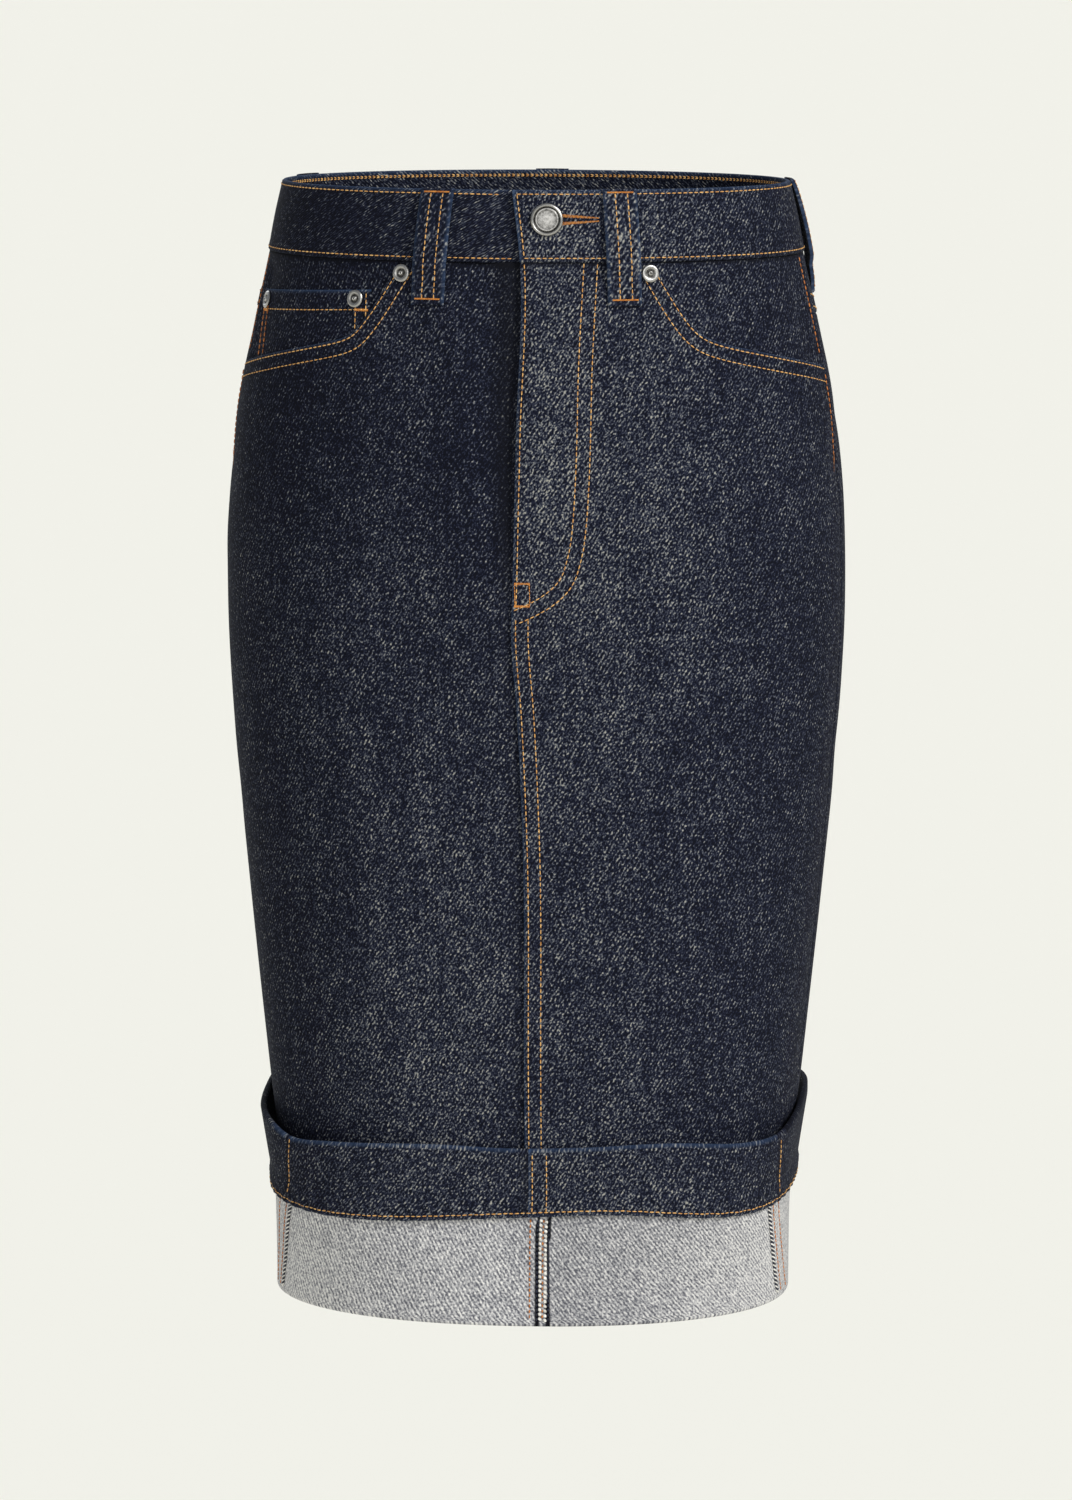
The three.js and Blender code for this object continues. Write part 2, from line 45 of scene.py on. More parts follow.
# Driving sizes, as in the solids
CLOTH = 1.2
GAP = 0.3
LENGTH = 610.0
WAISTBAND_HEIGHT = 38.0
WAISTBAND_OUT = 1.0
WAISTBAND_THICK = 2.6
UNDERLAP = 34.0
UNDERLAP_RAMP = 29.0
UNDERLAP_DROP = 3.7
FRONT_LAP = 12.0
LAP_RAMP = 8.0
FLY_BOTTOM = -215.0
BAND_AIR = 0.8
BUTTED = 0.02                 # sewn edges meet, so no light comes through a seam
SEAM_Z = -WAISTBAND_HEIGHT + 0.15   # the panels reach just into the waistband
PANEL_FOOT = -LENGTH + 2.2
FOLD_FOOT = -LENGTH + 1.9
STITCH = 3.2                  # one topstitch and the hole after it
ROWS_APART = 6.6              # the two rows of a double-stitched seam
FLY_ROWS_APART = 7.2
PANEL_COLUMNS = 84            # points across a front, a back or a yoke
PANEL_WIDTH = 230.0           # about how wide these are, which sets how narrow their edge steps are
THREAD_RIDE = 0.12            # how far a stitch's middle line lies above the cloth
THREAD_THICK = 0.7
OVERLOCK_STEP = 2.6           # from one loop of the overlocking to the next
SIGN = {"right": -1, "left": 1}
DOWN = np.array([0.0, 0.0, -1.0])
UP = np.array([0.0, 0.0, 1.0])


# Curves through tables
def smooth_curve(places, values, at):
    """A smooth curve through values at places that run downwards, read at the array at."""
    gap = np.diff(places)
    rise = np.diff(values) / gap
    slope = np.empty(len(places))
    slope[0], slope[-1] = rise[0], rise[-1]
    slope[1:-1] = (rise[:-1] * gap[1:] + rise[1:] * gap[:-1]) / (gap[:-1] + gap[1:])
    at = np.clip(at, places[-1], places[0])
    i = np.clip(np.searchsorted(-places, -at, side="right") - 1, 0, len(gap) - 1)
    t = (at - places[i]) / gap[i]
    return ((2 * t**3 - 3 * t**2 + 1) * values[i] + (t**3 - 2 * t**2 + t) * gap[i] * slope[i]
            + (3 * t**2 - 2 * t**3) * values[i + 1] + (t**3 - t**2) * gap[i] * slope[i + 1])


def smooth(t):
    """A soft step from 0 to 1."""
    t = np.clip(t, 0, 1)
    return t * t * (3 - 2 * t)


def hump(t):
    """1 at 0, falling softly to 0 at -1 and 1."""
    return 0.5 * (1 + np.cos(np.pi * np.clip(t, -1, 1)))


def peak(distance, width):
    """1 at 0, falling away on both sides as a bell curve."""
    return np.exp(-(distance / width) ** 2)


def lerp(a, b, t):
    return a + (b - a) * t


def pair(first, second):
    """Places on the flat cloth from two arrays."""
    return np.stack([first, second], axis=-1)


class Table:
    """Rows of numbers under named columns, the first of which is the place along a curve."""

    def __init__(self, columns, *rows):
        self.rows = np.array(rows, float)
        self.columns = columns.split()

    def __call__(self, column, at):
        values = self.rows[:, self.columns.index(column)]
        return smooth_curve(self.rows[:, 0], values, np.asarray(at, float))


class Form:
    """A family of horizontal sections. The angle is 0 at the front and grows to the wearer's left."""

    STEPS = 360

    def __init__(self, *rows):
        sizes = Table("z half front back fore aft aside", *rows)
        self.levels = np.arange(sizes.rows[0, 0], sizes.rows[-1, 0] - 0.5, -1.0)
        self.sizes = {name: sizes(name, self.levels) for name in sizes.columns[1:]}
        angles = np.linspace(0, np.pi, self.STEPS + 1)
        level, angle = np.meshgrid(self.levels, angles, indexing="ij")
        ring = self.point(angle, level)
        run = np.cumsum(np.linalg.norm(np.diff(ring, axis=1), axis=2), axis=1)
        run = np.hstack([np.zeros((len(self.levels), 1)), run])
        self.half_girth = run[:, -1]
        self.share_at = run / run[:, -1:]
        even = np.linspace(0, 1, self.STEPS + 1)
        self.angle_at = np.array([np.interp(even, row, angles) for row in self.share_at])

    def _level(self, z):
        return np.clip((self.levels[0] - z), 0, len(self.levels) - 1.001)

    def _read(self, grid, z, share):
        row = self._level(z)
        i = row.astype(int)
        j = np.clip(share * self.STEPS, 0, self.STEPS - 0.001)
        k = j.astype(int)
        near = lerp(grid[i, k], grid[i, k + 1], j - k)
        far = lerp(grid[i + 1, k], grid[i + 1, k + 1], j - k)
        return lerp(near, far, row - i)

    def girth(self, z):
        row = self._level(np.asarray(z, float))
        i = row.astype(int)
        return 2 * lerp(self.half_girth[i], self.half_girth[i + 1], row - i)

    def angle(self, distance, z):
        """The angle at a distance along the cloth from the centre front."""
        distance, z = np.broadcast_arrays(np.asarray(distance, float), np.asarray(z, float))
        girth = self.girth(z)
        turns = np.round(distance / girth)
        rest = distance - turns * girth
        angle = self._read(self.angle_at, z, np.abs(rest) / girth * 2)
        return np.sign(rest) * angle + 2 * np.pi * turns

    def distance(self, angle, z):
        angle, z = np.broadcast_arrays(np.asarray(angle, float), np.asarray(z, float))
        turns = np.round(angle / (2 * np.pi))
        rest = angle - turns * 2 * np.pi
        girth = self.girth(z)
        return (np.sign(rest) * self._read(self.share_at, z, np.abs(rest) / np.pi) / 2 + turns) * girth

    def point(self, angle, z):
        level = np.clip(self.levels[0] - z, 0, len(self.levels) - 1)
        rows = np.arange(len(self.levels))
        here = {name: np.interp(level, rows, column) for name, column in self.sizes.items()}
        in_front = np.cos(angle) > 0
        square = np.where(in_front, here["fore"], here["aft"])
        depth = np.where(in_front, here["front"], here["back"])
        across = np.abs(np.sin(angle)) / here["half"]
        radius = (across**square + (np.abs(np.cos(angle)) / depth) ** square) ** (-1 / square)
        across, forward = radius * np.sin(angle) + here["aside"], -radius * np.cos(angle)
        return np.stack([across, forward, z + 0 * angle], axis=-1)

    def normal(self, angle, z):
        around = self.point(angle + 0.002, z) - self.point(angle - 0.002, z)
        up = self.point(angle, z + 1.5) - self.point(angle, z - 1.5)
        up[..., 2] = 3.0
        out = np.cross(around, up)
        return out / np.linalg.norm(out, axis=-1, keepdims=True)

    def lifted(self, angle, z, out):
        """Points moved out from the form along its outward normal."""
        angle, z, out = np.broadcast_arrays(*(np.asarray(x, float) for x in (angle, z, out)))
        return self.point(angle, z) + self.normal(angle, z) * out[..., None]


BODY = Form(
    (0, 136.6, 94, 93, 2.05, 2.05, 0),
    (-40, 145.1, 99, 99, 2.05, 2.05, 0),
    (-80, 154.0, 104, 108, 2.08, 2.08, 0),
    (-120, 162.2, 108, 118, 2.1, 2.1, 0),
    (-170, 167.2, 111, 128, 2.12, 2.12, 0),
    (-225, 168.6, 112, 131, 2.15, 2.15, 0),
    (-300, 164.9, 112, 127, 2.2, 2.2, 0),
    (-380, 157.4, 111, 120, 2.28, 2.28, 0),
    (-450, 150.1, 110, 115, 2.38, 2.38, 0),
    (-500, 144.6, 109, 112, 2.42, 2.42, 0),
    (-540, 139.8, 108, 110, 2.35, 2.4, -0.5),
    (-575, 138.4, 107.3, 109.3, 2.2, 2.3, -1.5),
    (-LENGTH, 138.9, 107.2, 109, 2.15, 2.2, -1.8),
)
TURN_UP = Form(
    (-505, 147.3, 113, 121.5, 3.1, 3.2, -0.5),
    (-525, 144.2, 112, 118.5, 3.05, 3.1, -0.5),
    (-540, 142.2, 111.2, 115.8, 2.9, 2.95, -0.6),
    (-560, 141.2, 110.2, 113.2, 2.7, 2.8, -1.4),
    (-585, 141.3, 109.4, 111.6, 2.35, 2.4, -1.7),
    (-LENGTH, 141.5, 109.2, 111, 2.15, 2.2, -1.9),
)
SEAMS = Table(
    "z front side twist",
    (0, -3.7, 85, 0), (-36, 0.8, 85, 0), (-130, -0.3, 85, 0), (-205, -1.7, 84.7, 0),
    (-237, -2.4, 84.7, 0), (-275, 0.4, 84.5, 0), (-338, 3.3, 84, 0.4), (-500, 4.2, 82, 2.2),
    (-LENGTH, 6, 79, 4.3),
)
CUFF_SEAMS = Table(
    "z front side twist",
    (-505, 7.5, 60, 4.3), (-550, 7.5, 66, 4.3), (-LENGTH, 7, 79, 4.3),
)
HEM_EDGE = Table(
    "angle z",
    (180, -549), (120, -551), (84, -549), (58, -552), (28, -547),
    (0, -549), (-48, -554), (-84, -549), (-130, -552), (-180, -549),
)

CREASES_FOOT = -520.0         # no crease runs below this
# Soft troughs (negative) and ridges in the worn cloth. distance is from the centre front along the
# cloth, to the wearer's left; lean is the crease's angle from upright, its top towards the right.
CREASES = Table(
    "distance z long wide depth lean",
    (-15, -75, 70, 12, -2.2, -5),
    (-14, -160, 70, 10, -1.8, 2),
    (-34, -110, 90, 12, 0.7, 0),
    (17, -95, 60, 16, 0.8, 0),
    (60, -72, 40, 12, -0.8, 40),
    (-62, -80, 45, 12, -0.9, -38),
    (112, -118, 60, 11, -0.7, 66),
    (-120, -122, 70, 12, -0.8, -62),
    (38, -235, 60, 18, -0.7, 30),
    (-45, -262, 80, 22, -0.9, -25),
    (150, -196, 70, 15, 0.7, 70),
    (-160, -210, 75, 15, 0.7, -72),
    (78, -330, 120, 26, 0.9, 4),
    (-84, -345, 130, 26, 0.9, -4),
    (38, -430, 110, 22, -0.9, 3),
    (-40, -420, 120, 20, -0.8, -3),
    (125, -440, 90, 18, -0.8, 6),
    (-128, -450, 100, 18, -0.9, -6),
    (95, -492, 26, 26, -0.8, 80),
    (-95, -488, 26, 30, -0.9, -80),
    (230, -120, 60, 12, -0.8, 40),
    (-230, -126, 66, 12, -0.8, -44),
    (262, -300, 60, 16, -0.9, 74),
    (-265, -310, 66, 16, -1.0, -70),
    (330, -285, 60, 14, -1.0, -76),
    (-338, -292, 55, 14, -0.9, 78),
    (300, -380, 120, 24, 0.9, 5),
    (-310, -395, 120, 24, 0.9, -6),
    (352, -450, 90, 20, -0.8, 2),
    (-250, -455, 90, 20, -0.8, 0),
)


def creases(distance, z):
    """How far the creases lift the cloth. It is the same for every layer at one place."""
    distance, z = np.broadcast_arrays(np.asarray(distance, float), np.asarray(z, float))
    girth = BODY.girth(z)
    rest = distance - np.round(distance / girth) * girth
    lift = np.zeros(rest.shape)
    for place, level, long, wide, depth, lean in CREASES.rows:
        side, rise = rest - place, z - level
        turn = math.radians(lean)
        along = side * math.sin(turn) + rise * math.cos(turn)
        across = side * math.cos(turn) - rise * math.sin(turn)
        lift += depth * peak(along, long) * peak(across, wide)
    return lift * smooth((z - CREASES_FOOT) / 30)


def half_turns(angle):
    """An angle in degrees, from -180 to 180."""
    degrees = np.degrees(angle)
    return np.where(degrees > 180, degrees - 360, degrees)


def seam_at(side, z, form=BODY, seams=SEAMS):
    """A seam's distance from the centre front: 0 front, 1 and -1 sides, 2 and -2 back."""
    z = np.asarray(z, float)
    if side == 0:
        return seams("front", z)
    angle = np.pi if abs(side) == 2 else np.radians(seams("side", z))
    return form.distance(np.sign(side) * angle + np.radians(seams("twist", z)), z)


# Meshes
def grid_faces(rows, columns, start, flip):
    """Quads of a grid of vertices, facing outwards or, flipped, inwards."""
    corner = start + np.arange(rows - 1)[:, None] * columns + np.arange(columns - 1)[None, :]
    quad = np.stack([corner, corner + 1, corner + columns + 1, corner + columns], axis=-1).reshape(-1, 4)
    return quad[:, ::-1] if flip else quad


# Broad lighter (positive) and darker stretches of the front, by place across and height: painted light
# and painted shade, partly worn cloth. The darkest, beside the fly, is a painted shadow.
PAINTED_LIGHT_AND_WEAR_PATCHES = Table(
    "across z wide long amount",
    (-85, -16, 75, 32, -0.85),
    (62, -18, 70, 30, 0.3),
    (-95, -120, 70, 75, -0.8),
    (-25, -140, 22, 120, -0.9),
    (17, -120, 17, 95, 0.55),
    (78, -160, 55, 80, 0.25),
    (-70, -300, 60, 90, -0.2),
    (-40, -430, 40, 90, 0.1),
    (70, -380, 60, 120, -0.25),
    (60, -530, 70, 22, 0.25),
)


def painted_light_and_wear_at(points):
    """Painted light and shade with some wear: painted light at the middle of the front and the back,
    painted shade towards the sides, and the front's broad patches.
    """
    across, depth, z = points[..., 0], points[..., 1], points[..., 2]
    towards = np.abs(np.arctan2(across, np.abs(depth))) / (np.pi / 2)
    painted_light_and_wear = 0.85 - 0.95 * smooth((towards - 0.25) / 0.65)
    for place, level, wide, long, amount in PAINTED_LIGHT_AND_WEAR_PATCHES.rows:
        painted_light_and_wear = painted_light_and_wear + amount * (depth < 0) * peak(across - place, wide) * peak(z - level, long)
    return painted_light_and_wear


def add_object(name, data):
    thing = bpy.data.objects.new(name, data)
    bpy.context.scene.collection.objects.link(thing)
    return thing


def cloth_mesh(name, outer, inner, chart, fade, materials):
    """A closed sheet from its outer and inner faces. chart is each point's place on the flat cloth."""
    rows, columns = outer.shape[:2]
    size = rows * columns
    number = np.arange(size).reshape(rows, columns)
    border = np.concatenate([number[0, :-1], number[:-1, -1], number[-1, :0:-1], number[:0:-1, 0]])
    after = np.roll(border, -1)
    rims = np.stack([border, border + size, after + size, after], axis=-1)
    faces = np.vstack([grid_faces(rows, columns, 0, False), grid_faces(rows, columns, size, True), rims])
    points = np.concatenate([outer.reshape(-1, 3), inner.reshape(-1, 3)]) * MM
    mesh = bpy.data.meshes.new(name)
    mesh.from_pydata(points.tolist(), [], faces.tolist())
    plane = (rows - 1) * (columns - 1)
    mesh.polygons.foreach_set("material_index", [0] * plane + [1] * plane + [0] * len(rims))
    flat = np.tile(chart.reshape(-1, 2), (2, 1)) * MM
    uv = mesh.uv_layers.new(name="cloth")
    uv.data.foreach_set("uv", flat[faces.reshape(-1)].astype(np.float32).reshape(-1))
    # fade is worn, paler cloth where positive; where negative it is painted shade, and on the grey the
    # navy under the overlocking. The second attribute is painted light and shade by place on the body,
    # with some wear.
    for label, values in (("fade", np.broadcast_to(fade, (rows, columns))), ("painted_light_and_wear", painted_light_and_wear_at(outer))):
        attribute = mesh.attributes.new(label, "FLOAT", "POINT")
        attribute.data.foreach_set("value", np.tile(values.reshape(-1), 2))
    mesh.polygons.foreach_set("use_smooth", [True] * len(faces))
    mesh.set_sharp_from_angle(angle=math.radians(50))
    for material in materials:
        mesh.materials.append(material)
    return add_object(name, mesh)


def edged(count, width, turn=0.9):
    """Even shares of a width, with a narrow first and last step for a rounded edge."""
    edge = turn / width
    return np.concatenate([[0], np.linspace(edge, 1 - edge, count - 1), [1]])


def edge_drop(u, v, drop=0.45):
    """The outermost line of points on each edge of a sheet lies lower, so that edges look round."""
    border = (u <= 0) | (u >= 1) | (v <= 0) | (v >= 1)
    return -drop * border


def sew_down(distance, seam, reach=2.2, depth=0.55):
    """The cloth dips into a seam line."""
    return -depth * smooth(1 - np.abs(distance - seam) / reach)


def seam_shade(distance, seam):
    """The dark line of a pressed seam, with faintly worn cloth beside it."""
    away = np.abs(distance - seam)
    return 0.16 * peak(away - 3.0, 1.6) - 0.6 * peak(away, 0.9)


def sewn_shade(side, distance, z):
    """Dark cloth at the side seam and right under the waistband."""
    return seam_shade(distance, seam_at(SIGN[side], z)) - 0.9 * peak(SEAM_Z - z, 1.4)


def flat_size(chart):
    """The cut's width, length and area, from its points' places on the flat cloth in millimetres."""
    grid = chart.reshape(chart.shape[0], chart.shape[1], 2)
    first = grid[1:, 1:] - grid[:-1, :-1]
    second = grid[1:, :-1] - grid[:-1, 1:]
    area = np.abs(first[..., 0] * second[..., 1] - first[..., 1] * second[..., 0]).sum() / 2
    width, length = np.ptp(grid.reshape(-1, 2), axis=0)
    return (float(width * MM), float(length * MM)), float(min(area, width * length) * MM * MM)


def cloth_piece(node, outer, inner, chart, fade, rests_on,
                materials=None, slot="denim", weave=1.0, cut=None):
    """A piece of cloth in place of a part, which it hides; its flat size is worked out but not kept. Its
    weave may be drawn larger.
    """
    materials = materials or [DENIM, REVERSE]
    piece = cloth_mesh(f"{node}_cloth", outer, inner, chart * weave, fade, materials)
    if cut:
        cut(piece)
    flat, area = flat_size(chart)
    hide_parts(node)
    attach(piece, BODY_NAME)


def body_cloth(node, rests_on, distance, z, out, under, fade, **settings):
    """A piece of cloth on the body, from how far its outer and inner faces lie off the form."""
    angle = BODY.angle(distance, z)
    outer, inner = BODY.lifted(angle, z, out), BODY.lifted(angle, z, under)
    cloth_piece(node, outer, inner, pair(distance, z), fade, rests_on, **settings)


# Node trees
class Socket:
    """A socket that Python's operators can do sums on."""

    def __init__(self, tree, socket):
        self.tree = tree
        self.socket = socket

    def sum(self, operation, *others):
        values = {i + 1: other for i, other in enumerate(others)}
        return self.tree.make("ShaderNodeMath", {0: self, **values}, operation=operation)

    def __add__(self, other):
        return self.sum("ADD", other)

    def __sub__(self, other):
        return self.sum("SUBTRACT", other)

    def __rsub__(self, other):
        return self.tree.make("ShaderNodeMath", {0: other, 1: self}, operation="SUBTRACT")

    def __mul__(self, other):
        return self.sum("MULTIPLY", other)

    __radd__ = __add__

    def sine(self):
        return self.sum("SINE")

    def between(self, low, high):
        """0 at low and 1 at high, softly."""
        return self.tree.make("ShaderNodeMapRange", {"Value": self, "From Min": low, "From Max": high},
                              interpolation_type="SMOOTHSTEP")


class Tree:
    """Adds nodes to a shader's or a modifier's tree."""

    def __init__(self, tree):
        self.tree = tree

    def node(self, kind, inputs=None, **settings):
        node = self.tree.nodes.new(kind)
        for name, value in settings.items():
            setattr(node, name, value)
        for key, value in (inputs or {}).items():
            if isinstance(value, Socket):
                self.tree.links.new(value.socket, node.inputs[key])
            else:
                node.inputs[key].default_value = value
        return node

    def make(self, kind, inputs=None, output=0, **settings):
        return Socket(self, self.node(kind, inputs, **settings).outputs[output])

    def ramp(self, factor, *stops):
        """A colour ramp through (place, colour) stops, in rising order."""
        node = self.node("ShaderNodeValToRGB", {"Fac": factor})
        places = node.color_ramp.elements
        places[0].position, places[0].color = stops[0]
        places[1].position, places[1].color = stops[-1]
        for place, shade in stops[1:-1]:
            places.new(place).color = shade
        return Socket(self, node.outputs["Color"])

    def mix(self, factor, first, second):
        """first where factor is 0 and second where it is 1."""
        return self.make("ShaderNodeMix", {0: factor, 6: first, 7: second}, output=2, data_type="RGBA")

    def noise(self, x, y, layer, detail=2.0, rough=0.5):
        """Noise from 0 to 1 on a plane of its own, with features about 1 unit across."""
        place = self.make("ShaderNodeCombineXYZ", {"X": x, "Y": y, "Z": layer})
        return self.make("ShaderNodeTexNoise",
                         {"Vector": place, "Scale": 1.0, "Detail": detail, "Roughness": rough})

    def grain(self, scale, detail):
        """Noise through the piece's own space, in metres."""
        place = self.make("ShaderNodeTexCoord", output=3)
        return self.make("ShaderNodeTexNoise", {"Vector": place, "Scale": scale, "Detail": detail})

    def attribute(self, name):
        return self.make("ShaderNodeAttribute", output=2, attribute_name=name)

    def bump(self, height, distance, strength):
        inputs = {"Height": height, "Distance": distance, "Strength": strength}
        return self.make("ShaderNodeBump", inputs)


def colour(*shades):
    """Red, green and blue as on a screen, 0 to 255, as Blender's linear colour."""
    parts = [((c / 255 + 0.055) / 1.055) ** 2.4 if c > 10 else c / 255 / 12.92 for c in shades]
    return (*parts, 1.0)


def new_material(name):
    material = bpy.data.materials.new(name)
    material.use_nodes = True
    material.node_tree.nodes.clear()
    tree = Tree(material.node_tree)
    shader = tree.node("ShaderNodeBsdfPrincipled")
    output = tree.node("ShaderNodeOutputMaterial")
    material.node_tree.links.new(shader.outputs["BSDF"], output.inputs["Surface"])
    return material, tree, shader


def feed(tree, shader, **sockets):
    """Sets or links the shader's sockets, named with underscores for spaces."""
    for name, value in sockets.items():
        socket = shader.inputs[name.replace("_", " ")]
        if isinstance(value, Socket):
            tree.tree.links.new(value.socket, socket)
        else:
            socket.default_value = value


TWILL_PITCH = 2.0             # from one diagonal to the next, across them
TWILL_ANGLE = math.radians(58)


def cloth_plane(tree):
    """The place on the flat cloth in millimetres: along the weft, along the warp, and the diagonals."""
    chart = tree.make("ShaderNodeUVMap", uv_map="cloth")
    split = tree.node("ShaderNodeSeparateXYZ", {"Vector": chart})
    weft = Socket(tree, split.outputs["X"]) * 1000
    warp = Socket(tree, split.outputs["Y"]) * 1000
    across = weft * math.sin(TWILL_ANGLE) - warp * math.cos(TWILL_ANGLE)
    along = weft * math.cos(TWILL_ANGLE) + warp * math.sin(TWILL_ANGLE)
    return weft, warp, across, along


def denim(name, shades, ribs=0.14, clouds=0.12, painted_light_weight=0.08):
    """Twill seen from one side. shades are (place, colour) stops from the deepest yarn to the palest."""
    material, tree, shader = new_material(name)
    weft, warp, across, along = cloth_plane(tree)
    wander = tree.noise(across * 0.10, along * 0.06, 7.37)
    rib = (across * (2 * math.pi / TWILL_PITCH) + wander * 4).sine() * 0.5 + 0.5
    grain = tree.noise(across * 1.25, along * 0.72, 1.31, detail=0.0)
    salt = tree.noise(weft * 1.3, warp * 1.1, 2.47, detail=0.0)
    slub = tree.noise(weft * 0.55, warp * 0.035, 3.63)
    pick = tree.noise(weft * 0.04, warp * 0.6, 4.29)
    cloud = tree.noise(weft * 0.045, warp * 0.03, 5.71, detail=4.0, rough=0.6)
    wear_and_shade = tree.attribute("fade")
    yarn = grain * 0.6 + salt * 0.4 + (rib - 0.5) * ribs
    yarn = yarn + (slub - 0.5) * 0.14 + (pick - 0.5) * 0.10 + (cloud - 0.5) * clouds
    # Painted light and shade by place on the body, weighted for each side of the cloth, and a slight
    # lift where fade is high.
    yarn = yarn + (tree.attribute("painted_light_and_wear") - 0.5) * painted_light_weight + wear_and_shade * 0.07
    # Where fade is high the cloth goes worn pale blue; where it is negative it mixes towards near-black,
    # for painted shade and the navy under the overlocking.
    blue = tree.mix(wear_and_shade.between(0.05, 1.0) * 0.72, tree.ramp(yarn, *shades), colour(56, 77, 108))
    deep = tree.mix((wear_and_shade * -1).between(0.0, 1.0), blue, colour(9, 10, 17))
    relief = rib * 0.6 + grain * 0.5 + salt * 0.5
    feed(tree, shader, Base_Color=deep, Roughness=0.94, Specular_IOR_Level=0.16,
         Normal=tree.bump(relief, 0.0004, 0.4))
    return material


def metal(name, light, dark):
    """Aged metal: dull in the hollows, with fine scratches."""
    material, tree, shader = new_material(name)
    fine = tree.grain(3800.0, 2.0)
    wear_and_shade = tree.attribute("fade")
    tarnish = (tree.grain(700.0, 4.0) * 0.5 + fine * 0.3 + wear_and_shade * 0.75).between(0.3, 0.95)
    feed(tree, shader, Base_Color=tree.mix(tarnish, dark, light), Metallic=1.0,
         Roughness=(1 - tarnish) * 0.25 + 0.34, Normal=tree.bump(fine, 0.00005, 0.35))
    return material


def thread(name, light, dark):
    """Sewing thread: two shades that change from stitch to stitch, with a fine lay."""
    material, tree, shader = new_material(name)
    lay = tree.grain(4200.0, 1.0)
    shade = (tree.grain(420.0, 2.0) * 0.7 + lay * 0.3).between(0.3, 0.7)
    feed(tree, shader, Base_Color=tree.mix(shade, dark, light), Roughness=0.62, Specular_IOR_Level=0.35,
         Normal=tree.bump(lay, 0.0001, 0.5))
    return material


FACE_SHADES = (
    (0.37, colour(5, 7, 19)),
    (0.48, colour(13, 17, 34)),
    (0.58, colour(37, 41, 55)),
    (0.68, colour(84, 87, 92)),
    (0.81, colour(152, 150, 140)),
)
REVERSE_SHADES = (
    (0.23, colour(90, 91, 98)),
    (0.40, colour(141, 141, 144)),
    (0.55, colour(182, 181, 181)),
    (0.72, colour(222, 220, 215)),
)
DENIM = denim("raw_denim_face", FACE_SHADES)
# The grey reverse takes the painted light the other way round: painted shade at the middle of the front
# and the back, lighter towards the sides.
REVERSE = denim("raw_denim_reverse", REVERSE_SHADES, ribs=0.22, clouds=0.05, painted_light_weight=-0.15)
SILVER = metal("aged_silver", colour(172, 170, 165), colour(32, 30, 29))
GOLD_THREAD = thread("gold_topstitch_thread", colour(232, 186, 116), colour(170, 112, 50))
ORANGE_THREAD = thread("orange_tack_thread", colour(222, 150, 66), colour(168, 98, 36))
BROWN_THREAD = thread("brown_under_thread", colour(204, 126, 58), colour(128, 72, 32))
ECRU_THREAD = thread("ecru_overlock_thread", colour(244, 242, 234), colour(190, 186, 176))
NAVY_THREAD = thread("navy_seam_thread", colour(30, 36, 58), colour(8, 10, 20))


# The fly, the lapped front seam and the front panels
def front_sink(distance, z):
    """How far the right front sinks: under the overlapping edge and into the trough beside the fly."""
    edge = seam_at(0, z)
    lap = (CLOTH + GAP) * smooth((distance - edge + LAP_RAMP + 1) / LAP_RAMP)
    fade = smooth((z - FLY_BOTTOM) / 80)
    centre = edge - 4 - 20 * smooth((z + 120) / 120)
    return lap + 2 * fade * hump((distance - centre) / 30)


MOUTHS = {
    "right": dict(start=63.5, slope=1.5, round=8, run=-81.5, fall=0.18),
    "left": dict(start=71, slope=1.7, round=14, run=-81.5, fall=0.18),
}
MOUTH_LAP = 12.0              # how far the facing runs on under the front
FACING_LAP = 8.0              # how far it starts before the mouth does
FACING_SINK = {"right": 3.2, "left": 1.7}
COIN = dict(inner=83.0, outer=176.0, top=-53.6, tilt=0.047, sink=1.75, thick=1.0, lap=10.0)


def mouth_edge(side, distance):
    """The height of the scooped pocket's edge at a distance out from the centre front."""
    mouth = MOUTHS[side]
    slant = -WAISTBAND_HEIGHT - mouth["slope"] * (distance - mouth["start"])
    shallow = mouth["run"] - mouth["fall"] * (distance - 100)
    return (slant + shallow + np.hypot(slant - shallow, mouth["round"])) / 2


def front_out(side, distance, z):
    """The outer face of a front panel."""
    edge = seam_at(0, z)
    seam = seam_at(SIGN[side], z)
    below = mouth_edge(side, np.abs(distance)) - z
    past_start = np.abs(distance) - MOUTHS[side]["start"]
    hem = 0.35 * smooth(1 - (below - 7) / 3) * smooth((past_start + 12) / 6)
    ripple = 0.10 * np.sin(z * 0.9 + 1.3 * np.sin(z * 0.21))
    ripple = ripple * smooth(1 - np.abs(distance - edge - 3) / 8)
    out = creases(distance, z) + hem + sew_down(distance, seam)
    if side == "left":
        lapped = 0.75 * smooth(1 - (distance - edge - 7) / 5)
        return out + lapped + ripple
    return out + ripple - front_sink(distance, z)


COLUMN_DRIFT = 1.12           # draws the front's columns of points towards the centre


